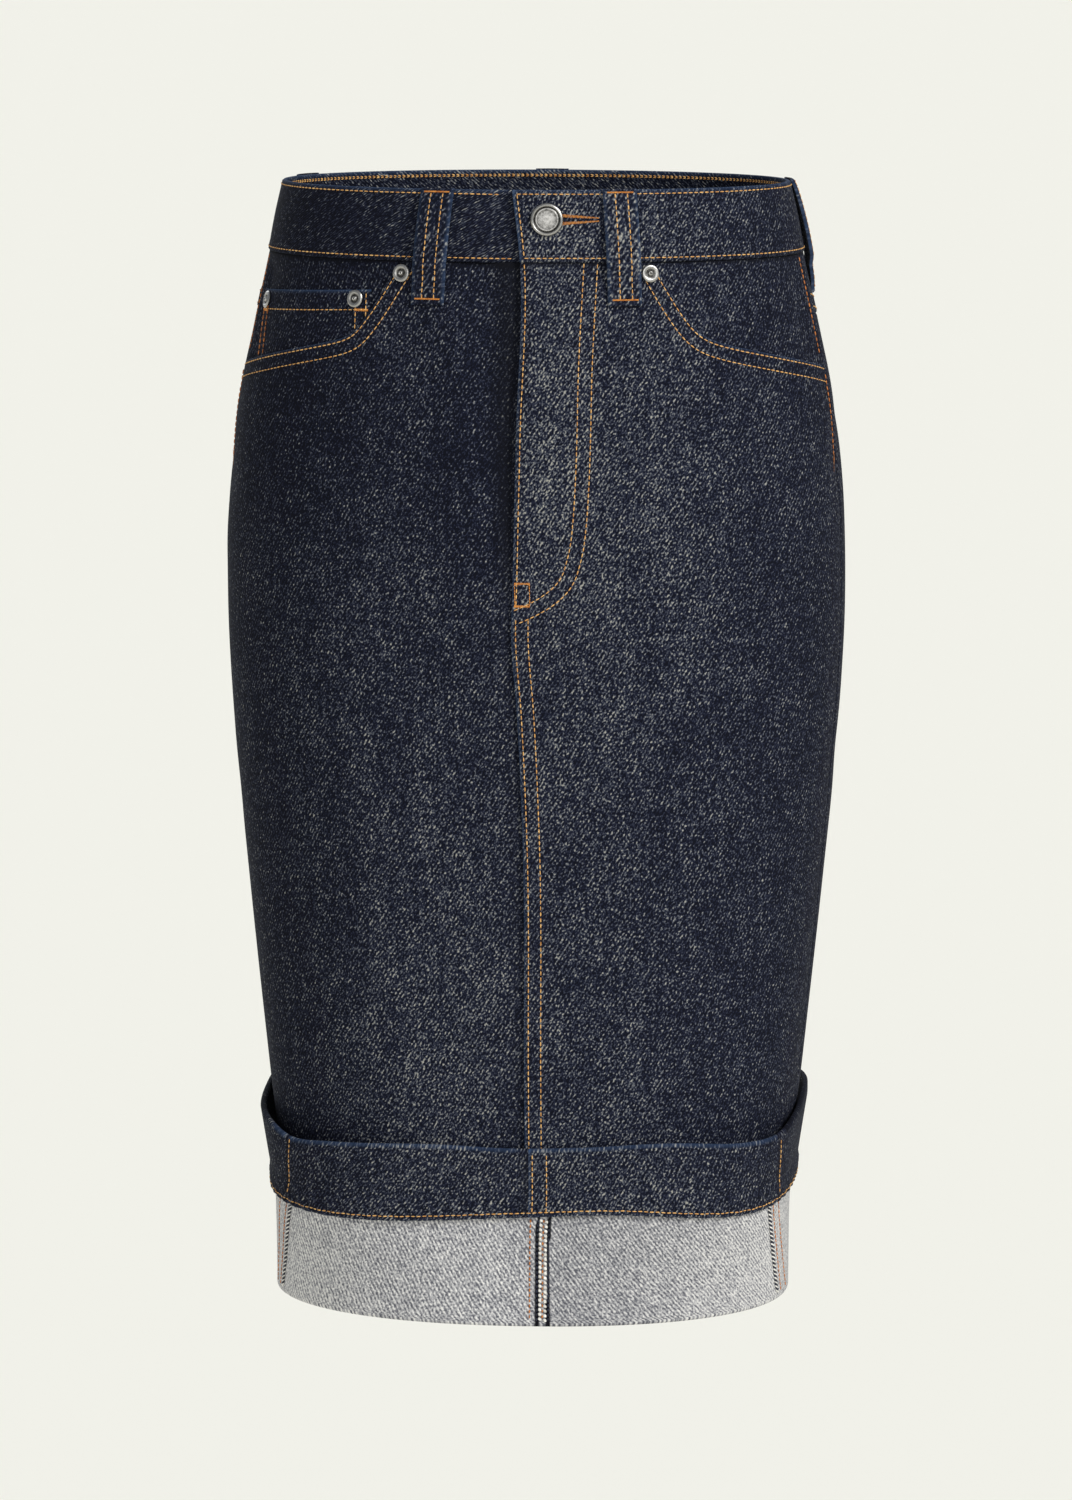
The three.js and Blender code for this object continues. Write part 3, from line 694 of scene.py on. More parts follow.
def front_panel(side):
    sign = SIGN[side]
    across = edged(PANEL_COLUMNS, PANEL_WIDTH)
    across = across ** COLUMN_DRIFT if sign > 0 else 1 - (1 - across) ** COLUMN_DRIFT
    u, v = np.meshgrid(across, edged(170, 540.0))

    def place(z):
        inner = seam_at(0, z) + (0 if sign > 0 else FRONT_LAP)
        outer = seam_at(sign, z) - sign * BUTTED
        return lerp(inner, outer, u if sign > 0 else 1 - u)

    # The top's height depends on the distance, which depends on the height, so they settle in turns.
    top = np.full(u.shape, SEAM_Z)
    for _ in range(12):
        top = np.minimum(SEAM_Z, lerp(top, mouth_edge(side, np.abs(place(top))), 0.6))
    z = lerp(PANEL_FOOT, top, v)
    distance = place(z)
    out = front_out(side, distance, z)
    edge = distance - seam_at(0, z)
    fade = 0.5 * peak(top - z, 1.0) * (top < SEAM_Z - 0.5) + sewn_shade(side, distance, z)
    if sign > 0:
        fade = fade + 0.55 * peak(edge, 0.9)
    else:
        # Painted shade in the trough beside the fly, under the lapped edge, wider and deeper towards the
        # waistband.
        reach = lerp(10, 24, smooth((z - FLY_BOTTOM) / 120))
        shade = smooth((0.5 - edge) / 1.5) * hump((edge + 3) / reach)
        fade = fade - lerp(0.3, 0.62, smooth((z - FLY_BOTTOM + 20) / 60)) * shade
    body_cloth(f"front_{side}", ["waistband"], distance, z, out + edge_drop(u, v), out - CLOTH, fade)


def facing_out(side, distance, z):
    """The outer face of a pocket facing, which rises to the waistband and to the side seam."""
    start = MOUTHS[side]["start"] - FACING_LAP
    sunk = FACING_SINK[side]
    under = smooth((start + 11 - np.abs(distance)) / 4)
    near = lerp(0.6, sunk, smooth((SEAM_Z - z) / 14))
    sewn_in = smooth((np.abs(distance) - np.abs(seam_at(SIGN[side], z)) + 14) / 12)
    return creases(distance, z) - lerp(lerp(near, sunk, under), 0.3, sewn_in)


def pocket_facing(side):
    sign = SIGN[side]
    u, v = np.meshgrid(edged(50, 150.0), edged(24, 70.0))
    t = u if sign > 0 else 1 - u

    def place(z):
        seam = np.abs(seam_at(sign, z)) - BUTTED
        return sign * lerp(MOUTHS[side]["start"] - FACING_LAP, seam, t)

    foot = np.minimum(mouth_edge(side, np.abs(place(np.full(u.shape, -80.0)))), SEAM_Z) - MOUTH_LAP
    z = lerp(foot, SEAM_Z, v)
    distance = place(z)
    out = facing_out(side, distance, z)
    body_cloth(f"pocket_facing_{side}", ["waistband"], distance, z, out + edge_drop(u, v), out - CLOTH,
               sewn_shade(side, distance, z))


def coin_top(distance):
    return COIN["top"] - COIN["tilt"] * (distance - COIN["inner"])


def coin_out(distance, z):
    down = coin_top(np.abs(distance)) - z
    rise = facing_out("right", distance, z) - creases(distance, z) + FACING_SINK["right"]
    sink = COIN["sink"] - np.maximum(rise - 0.2, 0) * smooth((np.abs(distance) - 150) / 10)
    return creases(distance, z) - sink + 0.15 * smooth(1 - (down - 8) / 2)


def coin_pocket():
    u, v = np.meshgrid(edged(46, 93.0), edged(24, 45.0))
    distance = lerp(COIN["outer"], COIN["inner"], u)
    top = coin_top(distance)
    z = lerp(mouth_edge("right", distance) - COIN["lap"], top, v)
    out = coin_out(-distance, z)
    body_cloth("coin_pocket", ["pocket_facing_right"], -distance, z, out + edge_drop(u, v, 0.3),
               out - COIN["thick"], 0.7 * peak(top - z, 1.2))


# The back: a pointed yoke over two panels, with plain patch pockets
YOKE_SIDE = -68.0
YOKE_BACK = -102.0
BACK_POCKET = dict(centre=112.0, width=128.0, taper=14.0, top=-128.0, height=122.0, point=20.0)


def yoke_edge(share):
    """The height of the yoke's seam, from 0 at the centre back to 1 at the side seam."""
    return lerp(YOKE_BACK, YOKE_SIDE, share)


def share_round_back(side, distance, z):
    """0 at the centre back and 1 at the side seam."""
    back = seam_at(2 * SIGN[side], z)
    return (back - distance) / (back - seam_at(SIGN[side], z))


def back_out(side, distance, z):
    """The outer face of the back, above and below the yoke's seam."""
    back = seam_at(2 * SIGN[side], z)
    share = share_round_back(side, distance, z)
    above = z - yoke_edge(share)
    yoke = 0.4 * smooth((above + 0.4) / 0.8) * smooth(1 - (above - 8) / 3)
    lapped = 0.4 * smooth(1 - (np.abs(distance - back) - 8) / 4) if side == "left" else 0
    out = creases(distance, z) + sew_down(distance, seam_at(SIGN[side], z))
    depth = 0.5 if side == "right" else 0.2
    return out + yoke + lapped + sew_down(distance, back, reach=1.2, depth=depth)


def back_piece(side, name, rows, height, height_of):
    """A back panel or yoke. height_of says where the point at a share and a v lies."""
    sign = SIGN[side]
    u, v = np.meshgrid(edged(PANEL_COLUMNS, PANEL_WIDTH), edged(rows, height))
    share = 1 - u if sign > 0 else u
    z = height_of(share, v)
    distance = lerp(seam_at(2 * sign, z) - sign * BUTTED, seam_at(sign, z) + sign * BUTTED, share)
    out = back_out(side, distance, z)
    fade = 0.35 * peak(z - yoke_edge(share), 1.3) + sewn_shade(side, distance, z)
    body_cloth(f"{name}_{side}", ["waistband"], distance, z, out + edge_drop(u, v), out - CLOTH, fade)


def pocket_place(side, across, z):
    """The distance of a place on a back pocket, across millimetres to the left of its middle."""
    sign = SIGN[side]
    return seam_at(2 * sign, z) - sign * BACK_POCKET["centre"] + across


def pocket_width(v):
    return lerp(BACK_POCKET["width"] - BACK_POCKET["taper"], BACK_POCKET["width"], v)


def pocket_foot(share):
    """The pointed foot, where share runs from -1 to 1 across the pocket."""
    return BACK_POCKET["top"] - BACK_POCKET["height"] - BACK_POCKET["point"] * (1 - np.abs(share))


def back_pocket_out(side, distance, z):
    down = BACK_POCKET["top"] - z
    return back_out(side, distance, z) + GAP + CLOTH + 0.35 * smooth(1 - (down - 16) / 3)


def back_pocket(side):
    u, v = np.meshgrid(edged(46, 128.0), edged(48, 130.0))
    z = lerp(pocket_foot(2 * u - 1), BACK_POCKET["top"], v)
    distance = pocket_place(side, (u - 0.5) * pocket_width(v), z)
    border = np.minimum(np.minimum(u, 1 - u) * 128, np.minimum(v, 1 - v) * 135)
    body_cloth(f"back_pocket_{side}", [f"back_{side}"], distance, z,
               back_pocket_out(side, distance, z) + edge_drop(u, v, 0.5),
               back_out(side, distance, z) + GAP, 0.6 * peak(border, 1.4))


# The waistband: one strip whose buttonhole end lies over its sunk end
BUTTON = dict(distance=15.0, z=-15.7)
BUTTONHOLE = dict(length=27.0, wide=2.6, narrow=0.8)


def waistband_out(distance, z):
    """The waistband's outer face; past a whole turn it is the end that sinks under the other."""
    girth = BODY.girth(z)
    under = smooth((distance - girth + UNDERLAP) / UNDERLAP_RAMP)
    puff = 0.35 * hump((z + WAISTBAND_HEIGHT / 2) / (WAISTBAND_HEIGHT / 2))
    rest = distance - np.round(distance / girth) * girth
    wave = 0.45 * np.sin(rest / 17.0 + 0.6) * peak(rest + 8, 46)
    pucker = 0.10 * np.sin(distance * 1.15) * smooth(1 - np.abs(z + WAISTBAND_HEIGHT - 3) / 4)
    return WAISTBAND_OUT + puff + wave + pucker - (UNDERLAP_DROP + 0.3) * under


def waistband():
    across = [np.linspace(1.0, 45, 30), np.linspace(48, 700, 218), np.linspace(702, 999, 60)[1:-1]]
    u, v = np.meshgrid(np.concatenate([[0], *across, [1000]]) / 1000, edged(18, WAISTBAND_HEIGHT, 0.8))
    z = lerp(-WAISTBAND_HEIGHT, 0, v)
    start = seam_at(0, z)
    distance = lerp(start, BODY.girth(z) + UNDERLAP, u)
    out = waistband_out(distance, z)
    end = peak(distance - start, 1.3)
    top = 0.55 * peak(z, 1.3)
    foot = -0.4 * peak(z + WAISTBAND_HEIGHT, 1.2)
    # Painted shade on the sunk end, under the buttonhole end.
    under = smooth((distance - BODY.girth(z) + 13) / 10)
    fade = np.clip(end + top + foot, 0, 1) - 0.25 * under
    body_cloth("waistband", ["front_left", "front_right", "yoke_left", "yoke_right"], distance, z,
               out + edge_drop(u, v, 0.7), out - WAISTBAND_THICK - edge_drop(u, v, 0.5),
               fade, materials=[DENIM, DENIM], cut=cut_buttonhole)


def cut_buttonhole(piece):
    """The slit that the button's shank goes through, wide at the button's end and narrow at the other.
    """
    corners = [(0, 0.5), (1, 0.5), (1, -0.5), (0, -0.5)]
    points = []
    for out in (-2.2, 3.4):
        for along, across in corners:
            width = lerp(BUTTONHOLE["wide"], BUTTONHOLE["narrow"], along)
            distance = BUTTON["distance"] + along * BUTTONHOLE["length"]
            z = BUTTON["z"] + across * width
            points.append(BODY.lifted(BODY.angle(distance, z), z, out) * MM)
    mesh = bpy.data.meshes.new("slit_cutter")
    faces = [(3, 2, 1, 0), (4, 5, 6, 7), (0, 1, 5, 4), (1, 2, 6, 5), (2, 3, 7, 6), (3, 0, 4, 7)]
    mesh.from_pydata([tuple(p) for p in points], [], faces)
    cutter = add_object("slit_cutter", mesh)
    modifier = piece.modifiers.new("slit", "BOOLEAN")
    modifier.operation = "DIFFERENCE"
    modifier.object = cutter
    apply_modifiers(piece)
    bpy.data.objects.remove(cutter)


def apply_modifiers(piece):
    """Turns what the modifiers make into the piece's own mesh."""
    depsgraph = bpy.context.evaluated_depsgraph_get()
    mesh = bpy.data.meshes.new_from_object(piece.evaluated_get(depsgraph))
    piece.modifiers.clear()
    piece.data = mesh


# Belt loops
LOOP = dict(width=18.0, length=61.0, thick=1.6, bow=2.6)
LOOP_TACKS = (0.05, 0.965)    # where a loop is sewn down, as shares of its length
LOOP_ROWS = (-0.15, 0.21)     # its two rows of stitching, as shares of its width
LOOPS = {
    "front_right": dict(top=-43.2, foot=-48.7),
    "front_left": dict(top=52.7, foot=56.8),
    "side_right": dict(angle=-105),
    "side_left": dict(angle=97),
    "back": dict(angle=180),
}


def loop_centre(loop, z, v):
    if "angle" in loop:
        return BODY.distance(math.radians(loop["angle"]), z)
    return lerp(loop["foot"], loop["top"], v)


def loop_out(v, z, across):
    """The outer face of a belt loop: bowed between its tacked ends and rounded across, highest along its
    middle.
    """
    on_band = smooth((z + WAISTBAND_HEIGHT + 9) / 6)
    bow = LOOP["bow"] * np.sin(np.pi * np.clip(v, 0, 1)) ** 0.7
    tack = -0.35 * (peak(v - 0.05, 0.03) + peak(v - 0.97, 0.03))
    crown = 0.28 * np.cos(across * 2 * np.pi) + 0.12
    return GAP + (WAISTBAND_OUT + 0.35) * on_band + bow + LOOP["thick"] + tack + crown


def belt_loop(name):
    loop = LOOPS[name]
    u, v = np.meshgrid(edged(12, LOOP["width"], 0.7), edged(44, LOOP["length"], 0.8))
    z = lerp(-LOOP["length"], 0.4, v)
    distance = loop_centre(loop, z, v) + (u - 0.5) * LOOP["width"]
    across = u - 0.5
    out = loop_out(v, z, across)
    angle = BODY.angle(distance, z)
    outer = BODY.lifted(angle, z, out + edge_drop(u, v, 0.75))
    inner = BODY.lifted(angle, z, out - LOOP["thick"] - 0.35)
    frayed = 0.75 + 0.25 * np.sin(z * 3.1 + 2 * np.sin(z * 0.7))
    fade = 0.12 + 0.5 * frayed * peak((0.5 - np.abs(across)) * LOOP["width"], 1.3)
    cloth_piece(f"belt_loop_{name}", outer, inner, pair(across * LOOP["width"], z), fade, ["waistband"],
                [DENIM, DENIM], weave=0.8)


# The turned-up hem
CUFF_PANELS = {
    "front_left": (0, 1),
    "back_left": (1, 2),
    "back_right": (-2, -1),
    "front_right": (-1, 0),
}
FOLD_STEPS = 8
WALL_STEPS = 40
# Levels at which the turn-up's angles and widths are read
CREST_Z = -512.0
BAND_Z = -530.0
EDGE_Z = -549.0
GREY_Z = -550.0


def cuff_seam(side, z):
    return seam_at(side, z, TURN_UP, CUFF_SEAMS)


def cuff_angle(panel, u, z):
    start, end = cuff_seam(panel[0], z) + BUTTED, cuff_seam(panel[1], z) - BUTTED
    return TURN_UP.angle(lerp(start, end, u), z)


def cuff_distance(panel, u, z, shape):
    """How far round the flat cloth the points of a panel lie, the same in every row."""
    return np.broadcast_to(lerp(cuff_seam(panel[0], z), cuff_seam(panel[1], z), u), shape)


CREST = Table(
    "angle z",
    (180, -501), (120, -499), (96, -499), (77, -505), (64, -511), (55, -511), (40, -508), (18, -510),
    (0, -511), (-22, -510), (-45, -512), (-56, -513), (-65, -508), (-77, -503), (-96, -499),
    (-130, -500), (-180, -501),
)


def crest_at(angle):
    """The middle of the bend at the top of the turn-up."""
    return CREST("z", half_turns(angle)) - CLOTH - BAND_AIR / 2


def half_turn(start, end, pole, share, face):
    """A half turn of cloth between two lines of points, bulging towards pole."""
    centre = (start + end) / 2
    span = end - start
    radius = np.linalg.norm(span, axis=-1, keepdims=True) / 2
    flat = span / (2 * radius)
    reach = radius + (CLOTH / 2 if face else -CLOTH / 2)
    sweep = math.pi * share
    return centre - flat * math.cos(sweep) * reach + pole * math.sin(sweep) * reach


def cuff_wave(angle, z):
    """Slow waves in the turned-up cloth, strongest at its top."""
    wave = 0.7 * np.sin(3 * angle + 0.5) + 0.45 * np.sin(7 * angle + 2.0)
    return wave * smooth((z + 590) / 60) * 0.8


def turn_up_rows(panel, u, face):
    """Rows of points from the skirt's foot round the fold and up to the crest, and their heights."""
    angle = cuff_angle(panel, u, FOLD_FOOT)
    skirt_side = BODY.lifted(angle, FOLD_FOOT, -CLOTH / 2)
    outside = TURN_UP.lifted(angle, FOLD_FOOT, -CLOTH / 2)
    rows = [half_turn(skirt_side, outside, DOWN, k / FOLD_STEPS, face) for k in range(FOLD_STEPS + 1)]
    heights = [np.full(u.shape, -LENGTH)] * (FOLD_STEPS + 1)
    crest = crest_at(cuff_angle(panel, u, CREST_Z)) - GAP
    for k in range(1, WALL_STEPS + 1):
        z = lerp(FOLD_FOOT, crest, k / WALL_STEPS)
        turned = cuff_angle(panel, u, z)
        out = cuff_wave(turned, z) - (0 if face else CLOTH)
        rows.append(TURN_UP.lifted(turned, z, out))
        heights.append(z)
    return np.array(rows), np.array(heights)


# The overlocked edges and the rows of stitching on the grey, by their angle from the front.
GREY_SEAMS = Table(
    "z front left right back left_near left_far right_near right_far",
    (-500, 10.5, 58, -49, 184, 62, 60, -50, -56),
    (-552, 8.2, 67.9, -61.2, 184, 69.9, 73.5, -63.0, -67.8),
    (-580, 8.2, 73.0, -67.8, 184, 75.2, 79.0, -70.0, -74.0),
    (-607, 8.2, 77.8, -73.8, 184, 80.3, 85.0, -76.0, -79.5),
)


def grey_line(name, z):
    """How far round an overlocked edge or a row of stitching lies."""
    return TURN_UP.distance(np.radians(GREY_SEAMS(name, z)), z)


def turn_up(name):
    panel = CUFF_PANELS[name]
    u = edged(150, 190.0, 0.5)
    outer, heights = turn_up_rows(panel, u, 1)
    inner, _ = turn_up_rows(panel, u, 0)
    chart = pair(cuff_distance(panel, u, GREY_Z, heights.shape), -2 * LENGTH - heights)
    turned = np.array([TURN_UP.distance(cuff_angle(panel, u, z), z) for z in heights])
    # Painted shade on the grey of the wearer's left, the side that faces the key light.
    fade = -0.25 * smooth((np.sin(cuff_angle(panel, u, -580.0)) + 0.05) / 0.3)
    for seam in ("front", "back"):
        away = np.abs(turned - grey_line(seam, heights))
        fade = fade - 0.85 * (np.abs(away - 3.0) < 0.8)
    cloth_piece(f"turn_up_{name}", outer, inner, chart, fade, ["back_left", "front_left"],
                [REVERSE, DENIM], slot="denim_reverse")


def hem_height(angle):
    """The height of the turn-up's finished edge at an angle."""
    return HEM_EDGE("z", half_turns(angle))


def roping(angle, z, edge):
    """The slanting puckers that a stitched hem pulls into."""
    distance = TURN_UP.distance(angle, GREY_Z)
    twist = 0.42 * np.sin(distance * 0.62 + (z - edge) * 0.55 + 1.1 * np.sin(distance * 0.083))
    return twist * smooth(1 - (z - edge - 7) / 6)


def band_out(angle, z):
    """The outer face of the hem band, with its thicker, roped hem."""
    edge = hem_height(angle)
    hem = 0.75 * smooth(1 - (z - edge - 10) / 2.5)
    return BAND_AIR + CLOTH + cuff_wave(angle, z) + hem + roping(angle, z, edge)


def band_rows(panel, u, face):
    crest = crest_at(cuff_angle(panel, u, CREST_Z))
    edge = hem_height(cuff_angle(panel, u, EDGE_Z))
    rows, heights = [], []
    for k in range(WALL_STEPS):
        z = lerp(edge, crest, (k / WALL_STEPS) ** 1.15)
        angle = cuff_angle(panel, u, z)
        if face:
            out = band_out(angle, z) - 0.6 * (k == 0)
        else:
            out = BAND_AIR + cuff_wave(angle, z)
        rows.append(TURN_UP.lifted(angle, z, out))
        heights.append(z)
    angle = cuff_angle(panel, u, crest)
    wave = cuff_wave(angle, crest)
    outside = TURN_UP.lifted(angle, crest, BAND_AIR + CLOTH / 2 + wave)
    inside = TURN_UP.lifted(angle, crest, -CLOTH / 2 + wave)
    for k in range(FOLD_STEPS + 1):
        rows.append(half_turn(outside, inside, UP, k / FOLD_STEPS, face))
        heights.append(crest + 2 * k / FOLD_STEPS)
    return np.array(rows), np.array(heights)


def hem_band(name):
    panel = CUFF_PANELS[name]
    u = edged(110, 190.0, 0.5)
    outer, heights = band_rows(panel, u, 1)
    inner, _ = band_rows(panel, u, 0)
    distance = cuff_distance(panel, u, BAND_Z, heights.shape)
    facing = smooth((np.cos(cuff_angle(panel, u, CREST_Z)) - 0.30) / 0.2)
    # At the crest: worn and paler where it faces the front, painted shade where it faces away from the
    # front.
    top = lerp(-0.5, 0.5, facing) * peak(heights - heights[WALL_STEPS] - 0.8, 1.2)
    fade = top + 0.3 * peak(heights - heights[0], 1.6)
    # Beside the centre-front seam: a narrow worn, paler line on the left panel and a broad painted shade
    # on the right.
    wear_and_shade, wide = {"front_left": (0.5, 1.0), "front_right": (-0.5, 5.0)}.get(name, (0, 1.0))
    fade = fade + wear_and_shade * peak(distance - cuff_seam(0, BAND_Z), wide)
    for place in panel:
        if place != 0:
            fade = fade + seam_shade(distance, cuff_seam(place, BAND_Z))
    cloth_piece(f"hem_band_{name}", outer, inner, pair(distance, heights), fade,
                ["turn_up_front_left", "turn_up_back_left"])


# Stitching
def points_at(line, run, at):
    """The points at some places on a line whose own points lie at the places run."""
    return np.stack([np.interp(at, run, line[:, k]) for k in range(3)], axis=-1)


class Sewing:
    """Collects stitches, each from one point to the next, in millimetres."""

    def __init__(self):
        self.starts = []
        self.ends = []

    def stitch(self, start, end):
        self.starts.append(np.asarray(start, float).reshape(-1, 3))
        self.ends.append(np.asarray(end, float).reshape(-1, 3))

    def row(self, line, length=STITCH, share=0.8):
        """Stitches along a line of points, each share of the way to the next one."""
        run = np.concatenate([[0], np.cumsum(np.linalg.norm(np.diff(line, axis=0), axis=1))])
        count = max(1, round(run[-1] / length))
        begin = np.arange(count) * run[-1] / count
        self.stitch(points_at(line, run, begin), points_at(line, run, begin + share * run[-1] / count))

    def bar(self, start, end, across, count):
        """A bartack: close stitches across a short line."""
        centre = lerp(start, end, np.linspace(0, 1, count)[:, None])
        self.stitch(centre - across / 2, centre + across / 2)


def on_body(distance, z, out):
    return BODY.lifted(BODY.angle(distance, z), z, out + THREAD_RIDE)


def two_rows(inset):
    return inset, inset + ROWS_APART


def upright(distance_of, top, foot):
    """A path of (distance, z) down the cloth."""
    z = np.arange(top, foot, -2.0)
    return pair(distance_of(z), z)


def beside(path, inset):
    """A path moved sideways on the flat, to the left of its way."""
    step = np.gradient(path, axis=0)
    side = pair(-step[:, 1], step[:, 0])
    return path + inset * side / np.linalg.norm(side, axis=-1, keepdims=True)


FLY_STITCH = Table(
    "z distance",
    (-38, 34.8), (-99, 32.4), (-131, 32.0), (-157, 31.2), (-175, 30.1), (-190, 28.2), (-200, 25.6),
)


def fly_curve(inset):
    """The J of the fly's topstitching: nearly straight down, then round to the centre front."""
    down = upright(lambda z: FLY_STITCH("distance", z), -38.5, -200)
    sweep = np.linspace(0, 1, 30)[1:]
    corner = np.array([(25.6, -200.0), (22.5, -209.5), (12.0, -216.0), (-1.6, -221.5)])
    rest = 1 - sweep
    weights = np.stack([rest**3, 3 * sweep * rest**2, 3 * sweep**2 * rest, sweep**3])
    return beside(np.vstack([down, weights.T @ corner]), inset)


def mouth_path(side, inset):
    """A pocket mouth's stitching, a set way below its edge."""
    distance = np.linspace(MOUTHS[side]["start"] - 1, 214, 120)
    distance, z = beside(pair(distance, mouth_edge(side, distance)), -inset).T
    keep = (z < -39) & (distance < np.abs(seam_at(SIGN[side], z)) - 1)
    return pair(SIGN[side] * distance[keep], z[keep])


BOX_TACK = dict(near=-0.6, far=7.2, top=-207.0, foot=-219.0)


def sew_front(gold, brown, orange):
    """Fly, front seam, pocket mouths and the rows beside the side seams."""
    def face(side, path):
        return on_body(*path.T, front_out(side, *path.T))

    for inset in (0, FLY_ROWS_APART):
        gold.row(face("left", fly_curve(inset)))
    gold.row(face("left", upright(lambda z: seam_at(0, z) + 2.3, -39, -221)))
    for inset in two_rows(2.4):
        gold.row(face("left", upright(lambda z: seam_at(0, z) + inset, -226, -606)))
    box = BOX_TACK
    for distance in (box["near"], box["far"]):
        upright_line = np.array([(distance, box["top"]), (distance + 0.3, box["foot"])])
        orange.row(face("left", upright_line), 1.6, 0.95)
    for z in (box["top"], box["foot"]):
        orange.bar(*face("left", np.array([(box["near"], z), (box["far"], z)])), UP * 1.5, 16)
    for side in ("left", "right"):
        sign = SIGN[side]
        for inset in two_rows(1.7):
            gold.row(face(side, mouth_path(side, inset)))
        z = np.linspace(-40, -92, 30)
        distance = seam_at(sign, z) - sign * 2.4
        brown.row(on_body(distance, z, facing_out(side, distance, z)))
        z = np.linspace(-103, -150, 30)
        distance = seam_at(sign, z) - sign * (2.4 + 3 * smooth((-112 - z) / 38))
        brown.row(face(side, pair(distance, z)))
        tack = face(side, pair(distance[-1:] - 0.3, z[-1:]))[0]
        orange.bar(tack + UP * 4, tack - UP * 5, np.array([sign * 0.4, -1.6, 0.0]), 14)


def sew_coin_pocket(gold, brown, orange):
    def face(path):
        return on_body(*path.T, coin_out(*path.T))

    span = np.linspace(COIN["inner"] + 1.5, COIN["outer"] - 1.5, 30)
    gold.row(face(pair(-span, coin_top(span) - 10.5)))
    for end, inward, sewing in ((COIN["inner"], 1, gold), (COIN["outer"], -1, brown)):
        for inset in (2.6, 9.0):
            distance = end + inward * inset
            z = np.linspace(coin_top(distance) - 2, mouth_edge("right", distance) + 1, 12)
            sewing.row(face(pair(np.full(12, -distance), z)))
        bar = [(-(end + inward * inset), coin_top(end) - 11.0) for inset in (1.4, 9.6)]
        orange.bar(*face(np.array(bar)), UP * 1.6, 18)


def sew_waistband(gold, orange):
    def face(distance, z, lift=0.0):
        return on_body(distance, z, waistband_out(distance, z) + lift)

    girth = float(BODY.girth(0.0))
    round_foot = float(BODY.girth(-36.0))
    top_row, foot_row = -2.4, -35.9
    for start, end, level in ((-1.2, girth - 6, top_row), (3.2, round_foot - 1.5, foot_row)):
        distance = np.arange(start, end, 2.0)
        gold.row(face(distance, np.full(distance.shape, level)))
    z = np.arange(top_row, -36, -1.5)
    gold.row(face(seam_at(0, z) + 2.5, z))
    inside = np.arange(40.0, girth - 40, 2.0)
    for level in (-2.8, foot_row):
        line = face(inside, np.full(inside.shape, level), -WAISTBAND_THICK - 2 * THREAD_RIDE)
        start = points_at(line, np.arange(len(line)), np.arange(0, len(line) - 3, 1.3))
        end = lerp(start[:-1], start[1:], 0.72)
        for way in (1, -1):
            gold.stitch(start[:-1] + UP * 0.2 * way, end + UP * 0.62 * way)
    along = np.linspace(BUTTON["distance"] + 4, BUTTON["distance"] + BUTTONHOLE["length"], 34)
    share = (along - BUTTON["distance"]) / BUTTONHOLE["length"]
    lip = lerp(BUTTONHOLE["wide"], BUTTONHOLE["narrow"], share) / 2
    for way in (1, -1):
        far = face(along + 0.25, BUTTON["z"] + way * (lip + lerp(2.6, 0.8, share)))
        orange.stitch(face(along, BUTTON["z"] + way * lip), far)


def sew_loops(gold, orange):
    for loop in LOOPS.values():
        for across in LOOP_ROWS:
            v = np.linspace(*LOOP_TACKS, 40)
            z = lerp(-LOOP["length"], 0.4, v)
            distance = loop_centre(loop, z, v) + across * LOOP["width"]
            gold.row(on_body(distance, z, loop_out(v, z, np.full(v.shape, across))))
        for v in LOOP_TACKS:
            side = np.linspace(-0.36, 0.38, 30)
            level = np.full(side.shape, lerp(-LOOP["length"], 0.4, v))
            distance = loop_centre(loop, level, v) + side * LOOP["width"]
            line = on_body(distance, level, loop_out(np.full(side.shape, v), level, side) + 0.15)
            orange.stitch(line - UP * 0.5, line + UP * 0.5)


def pocket_outline(inset):
    """The sides and the point of a back pocket's stitching: across the pocket and height."""
    pocket = BACK_POCKET
    corner = pocket["top"] - pocket["height"] + inset * 0.9
    foot_width = (pocket["width"] - pocket["taper"]) / 2 - inset
    corners = np.array([(inset - pocket["width"] / 2, pocket["top"] - 1.5), (-foot_width, corner),
                        (0, corner - pocket["point"])])
    share = np.linspace(0, 1, 40)[:, None]
    half = np.vstack([lerp(corners[0], corners[1], share), lerp(corners[1], corners[2], share)[1:]])
    return np.vstack([half, (half * [-1, 1])[-2::-1]])


def sew_back(gold, orange):
    """Yokes, back pockets and the centre back seam."""
    def face(side, distance, z):
        return on_body(distance, z, back_out(side, distance, z))

    def patch(side, across, z):
        distance = pocket_place(side, across, z)
        return on_body(distance, z, back_pocket_out(side, distance, z))

    share = np.linspace(0.012, 0.985, 90)
    top = BACK_POCKET["top"]
    for side in ("right", "left"):
        sign = SIGN[side]
        for above in two_rows(1.8):
            z = yoke_edge(share) + above
            gold.row(face(side, lerp(seam_at(2 * sign, z), seam_at(sign, z), share), z))
        for inset in two_rows(2.0):
            gold.row(patch(side, *pocket_outline(inset).T))
        for level in (2.0, 15.0):
            gold.row(patch(side, np.linspace(-62, 62, 40), np.full(40, top - level)))
        for corner in (-60, 60):
            ends = patch(side, np.full(2, corner), np.array([top - 1.5, top - 9.5]))
            orange.bar(*ends, np.array([1.7, 0.0, 0.0]), 14)
    for start, foot in ((-104, -606), (-40, -100)):
        z = np.arange(start, foot, -2.0)
        for inset in two_rows(1.8):
            gold.row(face("left", seam_at(2, z) - inset, z))


